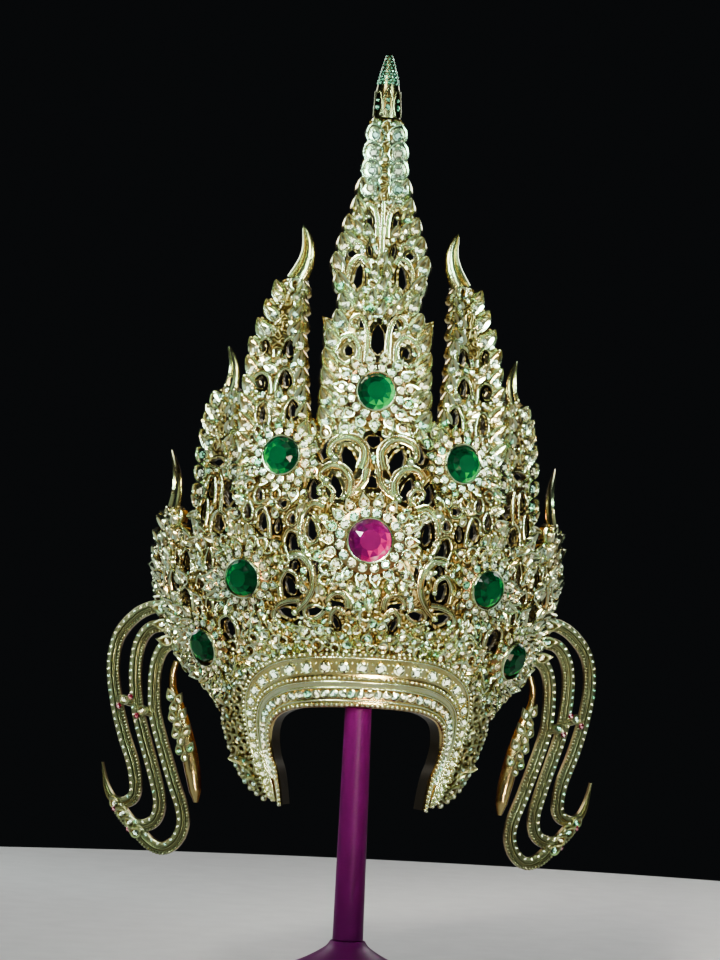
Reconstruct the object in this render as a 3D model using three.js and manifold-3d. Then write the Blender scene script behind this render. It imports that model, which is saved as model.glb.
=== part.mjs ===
// Thai headdress: a pierced gilt crown of seven flame spires with a brow arch, lappets and ear flares,
// standing on a plain post stand.
// Millimetres, +Z up, the face side towards -Y. The origin is the middle of the stand's underside.
//
// The crown's wall is laid out flat and then bent. A flat layout has s along the wall, h up from the
// apex of the brow arch and t outwards from the wall's back face.

import * as THREE from 'three';
import { mergeVertices } from 'three/addons/utils/BufferGeometryUtils.js';
import Module from 'manifold-3d';

const wasm = await Module();
wasm.setup();

const degrees = THREE.MathUtils.degToRad;

// Heights and the crown's round body
const BROW_Z = 186;            // apex of the brow arch above the floor
const PANEL_RADIUS = 120;      // radius at which the petals' flat layouts are true to size
const FRAME_RADIUS = 100;      // radius at which the face frame's flat layout is true to size
const BODY_PROFILE = [         // radius of the wall's back face by height
  { h: -66, radius: 88 },
  { h: 95, radius: 125 },
  { h: 400, radius: 104 },
];

// Thicknesses and clearances
const WALL = 3;                // cast wall of the petals
const COLLAR_TOP = 4;          // front of the raised scroll collars
const TIER_TOP = 5.2;          // front of the stacked leaves on the spires
const GAP = 0.3;               // between neighbouring pieces
const OVERLAY_GAP = 0.7;       // between the wall and what lies on its front
const OVERLAY = WALL + OVERLAY_GAP;
const SEAM = 0.2;              // half of the gap between two petals
const BITE = 1;                // how far joined layers sink into each other and cuts run past a face

// Face frame
const FRAME_THICK = 3;
const FRAME_TOP = OVERLAY + FRAME_THICK;
const FRAME_RIM = 1.5;         // rims stand this far above the frame
const FLANGE_BACK = -6;        // the inner flange turns in this far behind the wall
const FLANGE_WIDTH = 1.8;

// Stand
const BASE_RADIUS = 104;
const BASE_TOP = 47;
const POST_TOP_RADIUS = 8;
const POST_FOOT_RADIUS = 9.2;
const POST_SETBACK = 4;        // post axis behind the wall's back face at the brow apex
const REST_HEIGHT = 104;
const REST_WIDTH = 22;
const REST_THICK = 3.5;

// Ear flares, laid out flat as seen from the front
const FLARE_TURN = degrees(20);
const FLARE_ROOT_ANGLE = degrees(75);
const FLARE_ROOT = { e: 15, h: 44 };
const FLARE_HALF_WIDTH = 4.4;
const FLARE_HALF_THICK = 2;

// The crown's own axis stands behind the post
const AXIS_Y = bodyRadius(0) - POST_SETBACK;

const GOLD = { color: 0xcda650, roughness: 0.34, metalness: 0.9 };
const EMERALD = { color: 0x06713a, roughness: 0.08, metalness: 0.1 };
const RUBY_PINK = { color: 0xc8107a, roughness: 0.08, metalness: 0.1 };
const CRYSTAL = { color: 0xdfeee6, roughness: 0.1, metalness: 0.2 };
const MAGENTA = { color: 0xa5127f, roughness: 0.45, metalness: 0.0 };

// The seven petals. Angles are round the crown from the front, half is half the width of the petal's
// share of the wall, foot is its lower edge and core its spire, row by row from the bottom up. The edges
// are free and leafy from innerFrom and outerFrom upwards and meet the next petal below that.
// The centre petal's gaps and large leaves off its axis are on both sides of it.
const PETALS = [
  {
    name: 'centre', angle: 0, half: 36.6,
    innerFrom: 166, outerFrom: 166, leafStep: 12, leafReach: 6, tierFrom: 308,
    foot: [{ s: -36.6, h: 6 }, { s: 36.6, h: 6 }],
    core: [
      { h: 166, mid: 0, half: 27 }, { h: 214, mid: 0, half: 27 }, { h: 236, mid: 0, half: 19 },
      { h: 260, mid: 0, half: 26 }, { h: 284, mid: 0, half: 20 }, { h: 302, mid: 0, half: 13 },
      { h: 330, mid: 0, half: 11.5 }, { h: 352, mid: 0, half: 8.6 },
    ],
    tip: { turned: 'finial', height: 40, radius: 8.4, lean: 0, bulge: 0, depth: 0.7 },
    leaves: [
      { s: 26, h: 222.5, length: 24, width: 11, turn: 42 }, { s: 16.5, h: 294, length: 20, width: 9, turn: 20 },
    ],
    gaps: [
      { s: 0, h: 157.5, length: 8, width: 11, turn: 180 },
      { s: 13.6, h: 146, length: 17, width: 10, turn: 18 },
      { s: 26.3, h: 151.5, length: 13, width: 6.5, turn: -12 },
      { s: 0, h: 133.5, length: 8, width: 9.5, turn: 0 },
      { s: 20, h: 130, length: 15, width: 7.5, turn: 15 },
      { s: 32.2, h: 127, length: 13, width: 6, turn: 4 },
      { s: 32.3, h: 104, length: 14, width: 6, turn: 8 },
      { s: 29.6, h: 79.5, length: 12, width: 5, turn: -12 },
      { s: 17, h: 60.5, length: 12, width: 5.5, turn: 75 },
      { s: 17, h: 50, length: 8, width: 4, turn: 20 },
      { s: 29.5, h: 56, length: 10, width: 6.5, turn: -75 },
      { s: 0, h: 218.5, length: 19, width: 10.5, turn: 0 },
      { s: 9.5, h: 228, length: 7, width: 5, turn: -15 },
      { s: 17, h: 211, length: 7.5, width: 6.5, turn: 10 },
      { s: 13.3, h: 256, length: 16, width: 6.5, turn: -6 },
      { s: 18.5, h: 269.5, length: 7, width: 6, turn: 60 },
      { s: 7.5, h: 272, length: 8, width: 3, turn: 10 },
      { s: 8.3, h: 290, length: 10, width: 4.5, turn: 10 },
    ],
  },
  {
    name: 'inner', angle: 27.25, half: 20.4,
    innerFrom: 158, outerFrom: 150, leafStep: 11, leafReach: 5, tierFrom: 216,
    foot: [{ s: -20.4, h: 4 }, { s: 20.4, h: 2 }],
    core: [
      { h: 158, mid: 0.5, half: 17.5 }, { h: 186, mid: 2.5, half: 16 }, { h: 212, mid: 3.5, half: 14 },
      { h: 236, mid: -0.4, half: 9.5 }, { h: 254, mid: -3.8, half: 5.6 },
    ],
    tip: { turned: 'horn', height: 32, radius: 6.6, lean: -2, bulge: 6, depth: 0.6 },
    leaves: [],
    gaps: [
      { s: -4.5, h: 211, length: 10, width: 6, turn: 8 },
      { s: 12.6, h: 212, length: 7, width: 4, turn: -8 },
      { s: -3.5, h: 192.5, length: 10, width: 5, turn: 10 },
      { s: 12.6, h: 190.5, length: 8, width: 6.5, turn: 0 },
      { s: -9.2, h: 174.5, length: 10, width: 5.5, turn: 5 },
      { s: 9.2, h: 171.5, length: 11, width: 4.5, turn: 0 },
      { s: 7.5, h: 123.5, length: 8, width: 4.5, turn: 5 },
      { s: 3.8, h: 107.5, length: 12, width: 6.5, turn: 0 },
      { s: -7.3, h: 118.5, length: 5.5, width: 5.5, turn: 90 },
      { s: -5, h: 105.5, length: 9, width: 4, turn: 0 },
      { s: -13.2, h: 110, length: 6, width: 4.5, turn: 0 },
      { s: 14, h: 114, length: 9.5, width: 4.8, turn: 0 },
      { s: -14.8, h: 95, length: 11.5, width: 6, turn: 12 },
      { s: -16, h: 82.5, length: 6, width: 4.5, turn: 0 },
      { s: -13.5, h: 70.5, length: 12, width: 7.5, turn: 20 },
      { s: -11.6, h: 54.5, length: 13, width: 7.5, turn: 75 },
    ],
  },
  {
    name: 'outer', angle: 45.25, half: 17.3,
    innerFrom: 134, outerFrom: 122, leafStep: 10.5, leafReach: 4.6, tierFrom: 152,
    foot: [{ s: -17.3, h: -4 }, { s: 17.3, h: -4 }],
    core: [
      { h: 128, mid: 0, half: 12.5 }, { h: 150, mid: 0.8, half: 12.5 }, { h: 172, mid: 0, half: 9.5 },
      { h: 188, mid: -2, half: 5 },
    ],
    tip: { turned: 'horn', height: 25, radius: 5.2, lean: 6, bulge: 2.6, depth: 0.65 },
    leaves: [],
    gaps: [
      { s: 1.5, h: 142.5, length: 12, width: 5.5, turn: 90 },
      { s: -9.5, h: 124, length: 16, width: 7, turn: 10 },
      { s: 3.6, h: 126, length: 10, width: 5, turn: -5 },
      { s: 8.6, h: 112.5, length: 10.5, width: 4.5, turn: 0 },
      { s: -4, h: 106, length: 11, width: 8, turn: 15 },
      { s: 3, h: 84, length: 12, width: 4.7, turn: -5 },
      { s: -7.5, h: 43, length: 11.5, width: 9, turn: 180 },
      { s: 5.5, h: 58, length: 9, width: 4.3, turn: -10 },
      { s: 11.4, h: 70, length: 8, width: 6, turn: 0 },
    ],
  },
  {
    name: 'end', angle: 69.75, half: 34,
    innerFrom: 96, outerFrom: 52, leafStep: 10, leafReach: 5, tierFrom: 92,
    foot: [
      { s: -34, h: -8 }, { s: -25, h: 5 }, { s: -10, h: 13 },
      { s: 6, h: 19 }, { s: 18, h: 31 }, { s: 30, h: 46 },
    ],
    core: [
      { h: 52, mid: 0, half: 29 }, { h: 78, mid: 0, half: 27 }, { h: 94, mid: -3, half: 18 },
      { h: 106, mid: -6.5, half: 11.5 }, { h: 116, mid: -8, half: 6.5 },
    ],
    tip: { turned: 'horn', height: 35, radius: 5.6, lean: 15, bulge: 5, depth: 0.8 },
    leaves: [],
    gaps: [
      { s: -28, h: 82, length: 9, width: 6, turn: 0 }, { s: -23.5, h: 60, length: 9, width: 8, turn: 10 },
      { s: -11.5, h: 69, length: 10, width: 5, turn: 25 },
      { s: -18, h: 85, length: 9, width: 4, turn: 0 }, { s: 9, h: 84, length: 9, width: 4.5, turn: 70 },
      { s: 20, h: 66, length: 9, width: 4.5, turn: -25 }, { s: -1, h: 73, length: 9, width: 4, turn: 0 },
    ],
  },
];

// The rosettes and their stones, by angle and height, with the radii of the stone and two rings of lobes
const ROSETTES = [
  { name: 'brow', angle: 0, h: 99, stone: 12.6, inner: 19, outer: 28, lobes: 10, finish: RUBY_PINK },
  { name: 'top', angle: 0, h: 187, stone: 11, inner: 16.5, outer: 23, lobes: 8, finish: EMERALD },
  { name: 'inner', angle: 24.3, h: 147, stone: 11, inner: 15.5, outer: 20, lobes: 8, finish: EMERALD },
  { name: 'outer', angle: 34, h: 74, stone: 11, inner: 15.5, outer: 20, lobes: 8, finish: EMERALD },
  { name: 'ear', angle: 51.5, h: 32, stone: 10.5, inner: 13.6, outer: 16.5, lobes: 8, finish: EMERALD },
];
const ROSETTE_LOW = OVERLAY + 1.8;     // front of the outer ring of lobes
const ROSETTE_HIGH = OVERLAY + 3.2;    // front of the inner ring of lobes
const BEZEL_TOP = OVERLAY + 5.4;
const BEZEL_WALL = 1.4;
const STONE_PLAY = 0.45;               // round the stone in its bezel
const STONE_SEAT = OVERLAY + 2.4;
const STONE_SIDES = 10;

// The face frame: the opening's edge, the band's outer edge and the lappet's outer edge, right half
const ARCH_EDGE = [
  { s: 0, h: 0 }, { s: 20, h: -0.6 }, { s: 37.5, h: -3 }, { s: 48.7, h: -9 }, { s: 53.5, h: -20 },
  { s: 53, h: -32 }, { s: 50, h: -42 }, { s: 47.5, h: -61 },
];
const BAND_EDGE = [
  { s: 0, h: 32 }, { s: 25, h: 31 }, { s: 45, h: 26.5 }, { s: 60, h: 16 }, { s: 67.5, h: 2 },
  { s: 69, h: -15 }, { s: 67, h: -32 }, { s: 57, h: -56 },
];
const LAPPET_EDGE = [
  { s: 0, h: 32 }, { s: 25, h: 31 }, { s: 45, h: 26.5 },
  { s: 62, h: 16.5 }, { s: 76, h: 4 }, { s: 87, h: -8 },
  { s: 88, h: -20 }, { s: 84, h: -36 }, { s: 74, h: -50 }, { s: 60, h: -58 }, { s: 48.5, h: -61 },
];
const FRAME_STEPS = 12;                // samples along half of the arch
const FRAME_RIMS = [                   // place across the band and half width of each raised rim
  { across: 0.05, half: 1.3 }, { across: 0.42, half: 1.1 }, { across: 0.94, half: 1.3 },
];
const BROW_ROW = { across: 0.69, half: 0.1, reach: 0.66, lastStone: 0.64, stones: 21, stone: 0.085 };
const BROW_STRIP_TOP = FRAME_TOP + OVERLAY_GAP + 0.8;
const BROW_STONE_HEIGHT = 2.6;
const BROW_STONE_SINK = 0.4;           // each stone sinks this far into the strip
const BROW_STONE_TABLE = 0.55;
const BROW_STONE_SIDES = 8;

// The ear flare's three bands and the flame drop, as seen from the front: e outwards, h up
const FLARE_BANDS = [
  [
    { e: 16, h: 54 }, { e: 26, h: 53.5 }, { e: 37, h: 47 }, { e: 46.5, h: 34 }, { e: 49, h: 16 },
    { e: 46, h: -5 }, { e: 40.5, h: -25 }, { e: 33, h: -46 }, { e: 31.5, h: -62 }, { e: 37.5, h: -68 },
    { e: 45, h: -66 }, { e: 49.5, h: -58 }, { e: 52.5, h: -44 },
  ],
  [
    { e: 15, h: 43 }, { e: 26.5, h: 40.5 }, { e: 33, h: 31 }, { e: 35, h: 16 }, { e: 33.5, h: -3 },
    { e: 30, h: -19 }, { e: 20, h: -50 }, { e: 16, h: -66 }, { e: 18, h: -77 }, { e: 25, h: -81.5 },
    { e: 33, h: -80 }, { e: 41, h: -71 },
  ],
  [
    { e: 12, h: 33 }, { e: 19, h: 27.5 }, { e: 22.5, h: 16 }, { e: 22.5, h: -3 }, { e: 20, h: -18 },
    { e: 8.5, h: -52 }, { e: 2.5, h: -68 }, { e: 1, h: -79 }, { e: 4.5, h: -89 }, { e: 11.5, h: -94.5 },
    { e: 20.5, h: -92 }, { e: 31, h: -82 },
  ],
];
const FLARE_STEPS = 18;
const FLARE_HOOK_FROM = 0.8;           // where along the outermost band its hook begins to taper
const FLARE_HOOK_END = 0.06;           // share of the band's width left at the hook's point
const FLARE_TIES = [
  { from: { e: 45, h: -4 }, to: { e: 33, h: -7 }, half: 2.6 },
  { from: { e: 34, h: -10 }, to: { e: 22, h: -12 }, half: 2.6 },
];
const FLAME_SPINE = [
  { e: 9.6, h: 21, half: 1.6 }, { e: 11.5, h: 13, half: 1.6 }, { e: 11, h: 3, half: 1.8 },
  { e: 8.5, h: -4, half: 3.4 }, { e: 4.5, h: -16, half: 4.6 }, { e: 0.5, h: -30, half: 5.4 },
  { e: -3.5, h: -44, half: 4.2 }, { e: -6.5, h: -64, half: 0.5 },
];
const FLAME_HALF_THICK = 1.6;
const FLAME_CREST = 3;                 // front of the ridge down the flame's middle
const FLAME_CREST_WIDTH = 0.5;

// Smooth step from 0 to 1
function ease(v) {
  const u = THREE.MathUtils.clamp(v, 0, 1);
  return u * u * (3 - 2 * u);
}

// Radius of the wall's back face at height h
function bodyRadius(h) {
  const above = BODY_PROFILE.findIndex((row) => row.h > h);
  const upper = above < 0 ? BODY_PROFILE.length - 1 : Math.max(above, 1);
  const [low, high] = [BODY_PROFILE[upper - 1], BODY_PROFILE[upper]];
  return THREE.MathUtils.lerp(low.radius, high.radius, ease((h - low.h) / (high.h - low.h)));
}

// Point at an angle round the crown, a height and a distance out from the wall's back face
function surfacePoint(theta, h, t) {
  const radius = bodyRadius(h) + t;
  return new THREE.Vector3(radius * Math.sin(theta), AXIS_Y - radius * Math.cos(theta), BROW_Z + h);
}

// A closed geometry as a solid that can be joined and cut
function toSolid(geometry) {
  const bare = geometry.clone();
  for (const name of Object.keys(bare.attributes)) {
    if (name !== 'position') bare.deleteAttribute(name);
  }
  const SAME_POINT = 1e-4;
  const merged = mergeVertices(bare, SAME_POINT);
  const vertProperties = Float32Array.from(merged.attributes.position.array);
  const triVerts = Uint32Array.from(merged.index.array);
  return new wasm.Manifold(new wasm.Mesh({ numProp: 3, vertProperties, triVerts }));
}

// A solid back as a geometry
function toGeometry(solid) {
  const mesh = solid.getMesh();
  const geometry = new THREE.BufferGeometry();
  const places = new THREE.BufferAttribute(Float32Array.from(mesh.vertProperties), mesh.numProp);
  geometry.setAttribute('position', places);
  geometry.setIndex(Array.from(mesh.triVerts));
  return geometry;
}

// Solid of a flat outline between two distances from the wall's back face
function slab(points, low, high) {
  const shape = new THREE.Shape(points.map((p) => new THREE.Vector2(p.x, p.y)));
  const geometry = new THREE.ExtrudeGeometry(shape, { depth: high - low, bevelEnabled: false });
  return toSolid(geometry.translate(0, 0, low));
}

// Joined solid of a list
function join(solids) {
  return solids.reduce((whole, next) => whole.add(next));
}

// Pointed leaf or teardrop outline, its point at the top before it is turned
function drop({ s, h, length, width, turn = 0, sides = 6 }) {
  const POINTED = 0.35;
  const SWELL = 0.75;
  const angle = degrees(turn);
  const points = [];
  for (let i = 0; i < sides; i += 1) {
    const a = (2 * Math.PI * i) / sides;
    const across = (width / 2) * Math.sin(a) * (POINTED + SWELL * Math.sin(a / 2));
    const along = (length / 2) * Math.cos(a);
    const x = s - across * Math.cos(angle) + along * Math.sin(angle);
    points.push(new THREE.Vector2(x, h + across * Math.sin(angle) + along * Math.cos(angle)));
  }
  return points;
}

// Smooth curve through table rows with the two named columns
function smoothCurve(rows, across = 's') {
  return new THREE.SplineCurve(rows.map((row) => new THREE.Vector2(row[across], row.h)));
}

// Outline of a band that follows sampled centre points with a half width at each
function ribbon(centres, halfWidths) {
  const left = [];
  const right = [];
  centres.forEach((centre, i) => {
    const before = centres[Math.max(i - 1, 0)];
    const after = centres[Math.min(i + 1, centres.length - 1)];
    const along = after.clone().sub(before).normalize();
    const normal = new THREE.Vector2(-along.y, along.x);
    left.push(centre.clone().addScaledVector(normal, halfWidths[i]));
    right.push(centre.clone().addScaledVector(normal, -halfWidths[i]));
  });
  return right.concat(left.reverse());
}

// Longest run of an edge that still follows the bent wall closely enough
function isTooLong(p, q) {
  const MAX_ACROSS = 16;
  const MAX_UP_LOW = 22;
  const MAX_UP_HIGH = 60;
  const STRAIGHT_FROM = 130;
  const maxUp = Math.min(p.y, q.y) > STRAIGHT_FROM ? MAX_UP_HIGH : MAX_UP_LOW;
  return Math.abs(p.x - q.x) > MAX_ACROSS || Math.abs(p.y - q.y) > maxUp;
}

// Splits long edges at their middles, on both triangles that share them
function splitLongEdges(geometry) {
  const position = geometry.attributes.position;
  const points = [];
  for (let i = 0; i < position.count; i += 1) {
    points.push(new THREE.Vector3().fromBufferAttribute(position, i));
  }
  let triangles = [];
  for (let i = 0; i < geometry.index.count; i += 3) {
    triangles.push(Array.from(geometry.index.array.slice(i, i + 3)));
  }
  let middles;
  do {
    middles = new Map();
    const middleOf = (a, b) => {
      if (!isTooLong(points[a], points[b])) return -1;
      const key = `${Math.min(a, b)}_${Math.max(a, b)}`;
      if (!middles.has(key)) {
        middles.set(key, points.length);
        points.push(points[a].clone().lerp(points[b], 0.5));
      }
      return middles.get(key);
    };
    shortenDiagonals(points, triangles);
    triangles = triangles.flatMap((triangle) => splitTriangle(triangle, middleOf));
  } while (middles.size > 0);
  const fine = new THREE.BufferGeometry().setFromPoints(points);
  fine.setIndex(triangles.flat());
  return fine;
}

// Swaps the shared edge of two triangles in one flat face wherever the other diagonal is shorter
function shortenDiagonals(points, triangles) {
  const FLAT = 1e-6;
  const THIN = 1e-3;
  const SHORTER = 0.98;
  const doubleArea = (p, q, r) => (q.x - p.x) * (r.y - p.y) - (q.y - p.y) * (r.x - p.x);
  let swaps;
  do {
    swaps = 0;
    const edges = new Map();
    triangles.forEach((triangle, owner) => triangle.forEach((from, corner) => {
      const to = triangle[(corner + 1) % 3];
      edges.set(`${from}_${to}`, { owner, from, to, far: triangle[(corner + 2) % 3] });
    }));
    const touched = new Set();
    for (const edge of edges.values()) {
      const twin = edges.get(`${edge.to}_${edge.from}`);
      if (touched.has(edge.owner) || touched.has(twin.owner)) continue;
      const [a, b, c, d] = [edge.from, edge.to, edge.far, twin.far].map((i) => points[i]);
      if ([b, c, d].some((p) => Math.abs(p.z - a.z) > FLAT)) continue;
      if (c.distanceTo(d) > a.distanceTo(b) * SHORTER) continue;
      const turn = Math.sign(doubleArea(a, b, c));
      if (turn * doubleArea(a, d, c) < THIN || turn * doubleArea(d, b, c) < THIN) continue;
      triangles[edge.owner] = [edge.from, twin.far, edge.far];
      triangles[twin.owner] = [twin.far, edge.to, edge.far];
      touched.add(edge.owner).add(twin.owner);
      swaps += 1;
    }
  } while (swaps > 0);
}

// One triangle cut at whichever of its edges have a middle point
function splitTriangle([a, b, c], middleOf) {
  const [ab, bc, ca] = [middleOf(a, b), middleOf(b, c), middleOf(c, a)];
  const cuts = [ab, bc, ca].filter((middle) => middle >= 0).length;
  if (cuts === 0) return [[a, b, c]];
  if (cuts === 3) return [[a, ab, ca], [ab, b, bc], [bc, c, ca], [ab, bc, ca]];
  const turned = [[a, b, c, ab, bc, ca], [b, c, a, bc, ca, ab], [c, a, b, ca, ab, bc]];
  if (cuts === 1) {
    const [p, q, r, pq] = turned.find((order) => order[3] >= 0);
    return [[p, pq, r], [pq, q, r]];
  }
  const [p, q, r, pq, qr] = turned.find((order) => order[3] >= 0 && order[4] >= 0);
  return [[p, pq, qr], [pq, q, qr], [p, qr, r]];
}

// Turns every triangle over
function flip(geometry) {
  const index = geometry.index.array;
  for (let i = 0; i < index.length; i += 3) [index[i], index[i + 1]] = [index[i + 1], index[i]];
  return geometry;
}

// Moves every vertex of a geometry to a new place
function mapVertices(geometry, place) {
  const position = geometry.attributes.position;
  for (let i = 0; i < position.count; i += 1) {
    const moved = place(position.getX(i), position.getY(i), position.getZ(i));
    position.setXYZ(i, moved.x, moved.y, moved.z);
  }
  return geometry;
}

// A flat solid bent round the crown. Side -1 is the mirrored piece on the left.
function bend(solid, angle, side, reference = PANEL_RADIUS) {
  const fine = splitLongEdges(toGeometry(solid));
  const hand = side < 0 ? -1 : 1;
  mapVertices(fine, (s, h, t) => surfacePoint(hand * (degrees(angle) + s / reference), h, t));
  return hand < 0 ? flip(fine) : fine;
}

// Middle and half width of a petal's spire at a height
function spireAt(petal, h) {
  const rows = petal.core;
  const above = rows.findIndex((row) => row.h > h);
  const upper = above < 0 ? rows.length - 1 : Math.max(above, 1);
  const [low, high] = [rows[upper - 1], rows[upper]];
  const v = THREE.MathUtils.clamp((h - low.h) / (high.h - low.h), 0, 1);
  return {
    mid: THREE.MathUtils.lerp(low.mid, high.mid, v),
    half: THREE.MathUtils.lerp(low.half, high.half, v),
  };
}

// One edge of a petal from its shoulder up: leaves that each swell, point up and out, and end in a notch
function leafEdge(petal, hand) {
  const LEAF = [{ up: 0.05, out: 0 }, { up: 0.4, out: 0.8 }, { up: 0.85, out: 1 }];
  const TAPER = 0.6;
  const first = hand < 0 ? petal.innerFrom : petal.outerFrom;
  const top = petal.core.at(-1).h;
  const count = Math.round((top - first) / petal.leafStep);
  const step = (top - first) / count;
  const points = [];
  for (let i = 0; i < count; i += 1) {
    const reach = petal.leafReach * (1 - TAPER * (i / count));
    for (const row of LEAF) {
      const h = first + (i + row.up) * step;
      const { mid, half } = spireAt(petal, h);
      points.push(new THREE.Vector2(mid + hand * (half + row.out * reach), h));
    }
  }
  const { mid, half } = petal.core.at(-1);
  points.push(new THREE.Vector2(mid + hand * half, top));
  return points;
}

// Flat outline of a petal: foot, outer edge up, inner edge down
function petalOutline(petal) {
  const SHOULDER = 8;
  const clear = petal.half - SEAM;
  const edge = (hand, from, footEnd) => {
    const shoulder = new THREE.Vector2(hand * clear, from - SHOULDER);
    return shoulder.y > footEnd.h ? [shoulder, ...leafEdge(petal, hand)] : leafEdge(petal, hand);
  };
  const outer = edge(1, petal.outerFrom, petal.foot.at(-1));
  const inner = edge(-1, petal.innerFrom, petal.foot[0]);
  const outline = petal.foot.map((p) => new THREE.Vector2(p.s, p.h)).concat(outer, inner.reverse());
  return outline.map((p) => new THREE.Vector2(THREE.MathUtils.clamp(p.x, -clear, clear), p.y));
}

// Leaves stacked up the middle of a petal's spire
function spireTiers(petal) {
  const SIDES = 5;
  const LENGTH = 1.2 * petal.leafStep;
  const WIDTH_SHARE = 1.3;
  const last = petal.core.at(-1).h - 0.6 * petal.leafStep;
  const tiers = [];
  for (let h = petal.tierFrom; h < last; h += petal.leafStep) {
    const { mid, half } = spireAt(petal, h);
    const width = Math.min(half * WIDTH_SHARE, petal.leafStep);
    tiers.push(slab(drop({ s: mid, h, length: LENGTH, width, sides: SIDES }), WALL - BITE, TIER_TOP));
  }
  return tiers;
}

// Rows of a petal's table, with the mirrored partner of each that stands off the axis of the centre petal
function bothWays(petal, rows) {
  const mirrored = petal.angle === 0;
  return rows.flatMap((row) => {
    const partner = { ...row, s: -row.s, turn: -row.turn };
    return mirrored && row.s !== 0 ? [row, partner] : [row];
  });
}

// Whether a place on a petal lies at least a margin outside every rosette
function clearOfRosettes(petal, place, margin) {
  return ROSETTES.every((rosette) => {
    const s = degrees(rosette.angle - petal.angle) * PANEL_RADIUS;
    return Math.hypot(place.s - s, place.h - rosette.h) > rosette.outer + margin;
  });
}

// Flat solid of one petal: pierced wall with raised collars, leaves and tiers
function petalSolid(petal) {
  const COLLAR = 3.4;
  const COLLAR_EDGE = 1.2;
  const LARGE_FROM = 10.5;
  const SIDES = { large: 6, small: 5 };
  const clear = petal.half - COLLAR_EDGE;
  const gaps = bothWays(petal, petal.gaps);
  const isLarge = (gap) => gap.length > LARGE_FROM;
  const collars = gaps
    .filter((gap) => isLarge(gap) && Math.abs(gap.s) + gap.width / 2 + COLLAR / 2 < clear)
    .filter((gap) => clearOfRosettes(petal, gap, gap.length / 2 + COLLAR))
    .map((gap) => drop({ ...gap, length: gap.length + COLLAR, width: gap.width + COLLAR }))
    .map((outline) => slab(outline, WALL - BITE, COLLAR_TOP));
  const holes = gaps
    .map((gap) => drop({ ...gap, sides: isLarge(gap) ? SIDES.large : SIDES.small }))
    .map((outline) => slab(outline, -BITE, TIER_TOP + BITE));
  const wall = slab(petalOutline(petal), 0, WALL);
  const leaves = bothWays(petal, petal.leaves).map((leaf) => slab(drop(leaf), 0, WALL));
  return join([wall, ...leaves, ...spireTiers(petal), ...collars]).subtract(join(holes));
}

// Horn or finial on top of a petal: a pointed turned form, flattened and swayed
function tipSolid(petal) {
  const SIDES = 8;
  const TURNED = {
    horn: [{ up: 0, out: 0.9 }, { up: 0.2, out: 1 }, { up: 0.5, out: 0.75 }, { up: 0.8, out: 0.35 }],
    finial: [{ up: 0, out: 1 }, { up: 0.3, out: 0.85 }, { up: 0.65, out: 0.6 }, { up: 0.92, out: 0.36 }],
  };
  const { turned, height, radius, lean, bulge, depth } = petal.tip;
  const top = petal.core.at(-1);
  const profile = TURNED[turned].map((row) => new THREE.Vector2(row.out * radius, row.up * height));
  profile.unshift(new THREE.Vector2(0, 0));
  profile.push(new THREE.Vector2(0, height));
  const horn = new THREE.LatheGeometry(profile, SIDES).scale(1, 1, depth);
  mapVertices(horn, (x, y, z) => {
    const up = y / height;
    const sway = lean * up * up - bulge * Math.sin(Math.PI * up);
    return new THREE.Vector3(top.mid + x + sway, top.h + GAP + y, WALL / 2 + z);
  });
  return toSolid(horn);
}

// Lobed outline of a rosette
function lobed(rosette, radius, phase) {
  const POINTS_PER_LOBE = 2;
  const NOTCH = 0.8;
  const count = rosette.lobes * POINTS_PER_LOBE;
  return Array.from({ length: count }, (_, i) => {
    const a = (2 * Math.PI * i) / count + phase;
    const reach = radius * (i % POINTS_PER_LOBE === 0 ? NOTCH : 1);
    return new THREE.Vector2(reach * Math.cos(a), rosette.h + reach * Math.sin(a));
  });
}

// Round outline about a rosette's centre
function disc(rosette, radius, sides = STONE_SIDES) {
  return Array.from({ length: sides }, (_, i) => {
    const a = (2 * Math.PI * (i + 0.5)) / sides;
    return new THREE.Vector2(radius * Math.cos(a), rosette.h + radius * Math.sin(a));
  });
}

// Flat solid of a rosette with its bezel and the seat for the stone
function settingSolid(rosette) {
  const pocket = rosette.stone + STONE_PLAY;
  const halfLobe = Math.PI / rosette.lobes;
  return join([
    slab(lobed(rosette, rosette.outer, 0), OVERLAY, ROSETTE_LOW),
    slab(lobed(rosette, rosette.inner, halfLobe), ROSETTE_LOW - BITE, ROSETTE_HIGH),
    slab(disc(rosette, pocket + BEZEL_WALL), ROSETTE_LOW - BITE, BEZEL_TOP),
  ]).subtract(slab(disc(rosette, pocket), STONE_SEAT, BEZEL_TOP + BITE));
}

// Cut stone with a flat table, kept flat and set square on the wall at the rosette's centre
function stoneGeometry(rosette, side) {
  const profile = [
    { out: 0, up: 0 }, { out: 0.62, up: 0 }, { out: 1, up: 0.28 }, { out: 1, up: 0.36 },
    { out: 0.58, up: 0.6 }, { out: 0, up: 0.6 },
  ].map((row) => new THREE.Vector2(row.out * rosette.stone, row.up * rosette.stone));
  const stone = new THREE.LatheGeometry(profile, STONE_SIDES, Math.PI / STONE_SIDES);
  const solid = toGeometry(toSolid(stone));
  const hand = side < 0 ? -1 : 1;
  const theta = hand * degrees(rosette.angle);
  const STEP = 0.5;
  const origin = surfacePoint(theta, rosette.h, STONE_SEAT + GAP);
  const up = surfacePoint(theta, rosette.h + STEP, STONE_SEAT + GAP).sub(origin).divideScalar(STEP);
  const along = new THREE.Vector3(Math.cos(theta), Math.sin(theta), 0);
  const out = surfacePoint(theta, rosette.h, STONE_SEAT + GAP + 1).sub(origin);
  return mapVertices(solid, (x, y, z) => {
    const moved = origin.clone().addScaledVector(along, x);
    return moved.addScaledVector(up, -z).addScaledVector(out, y);
  });
}

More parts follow.
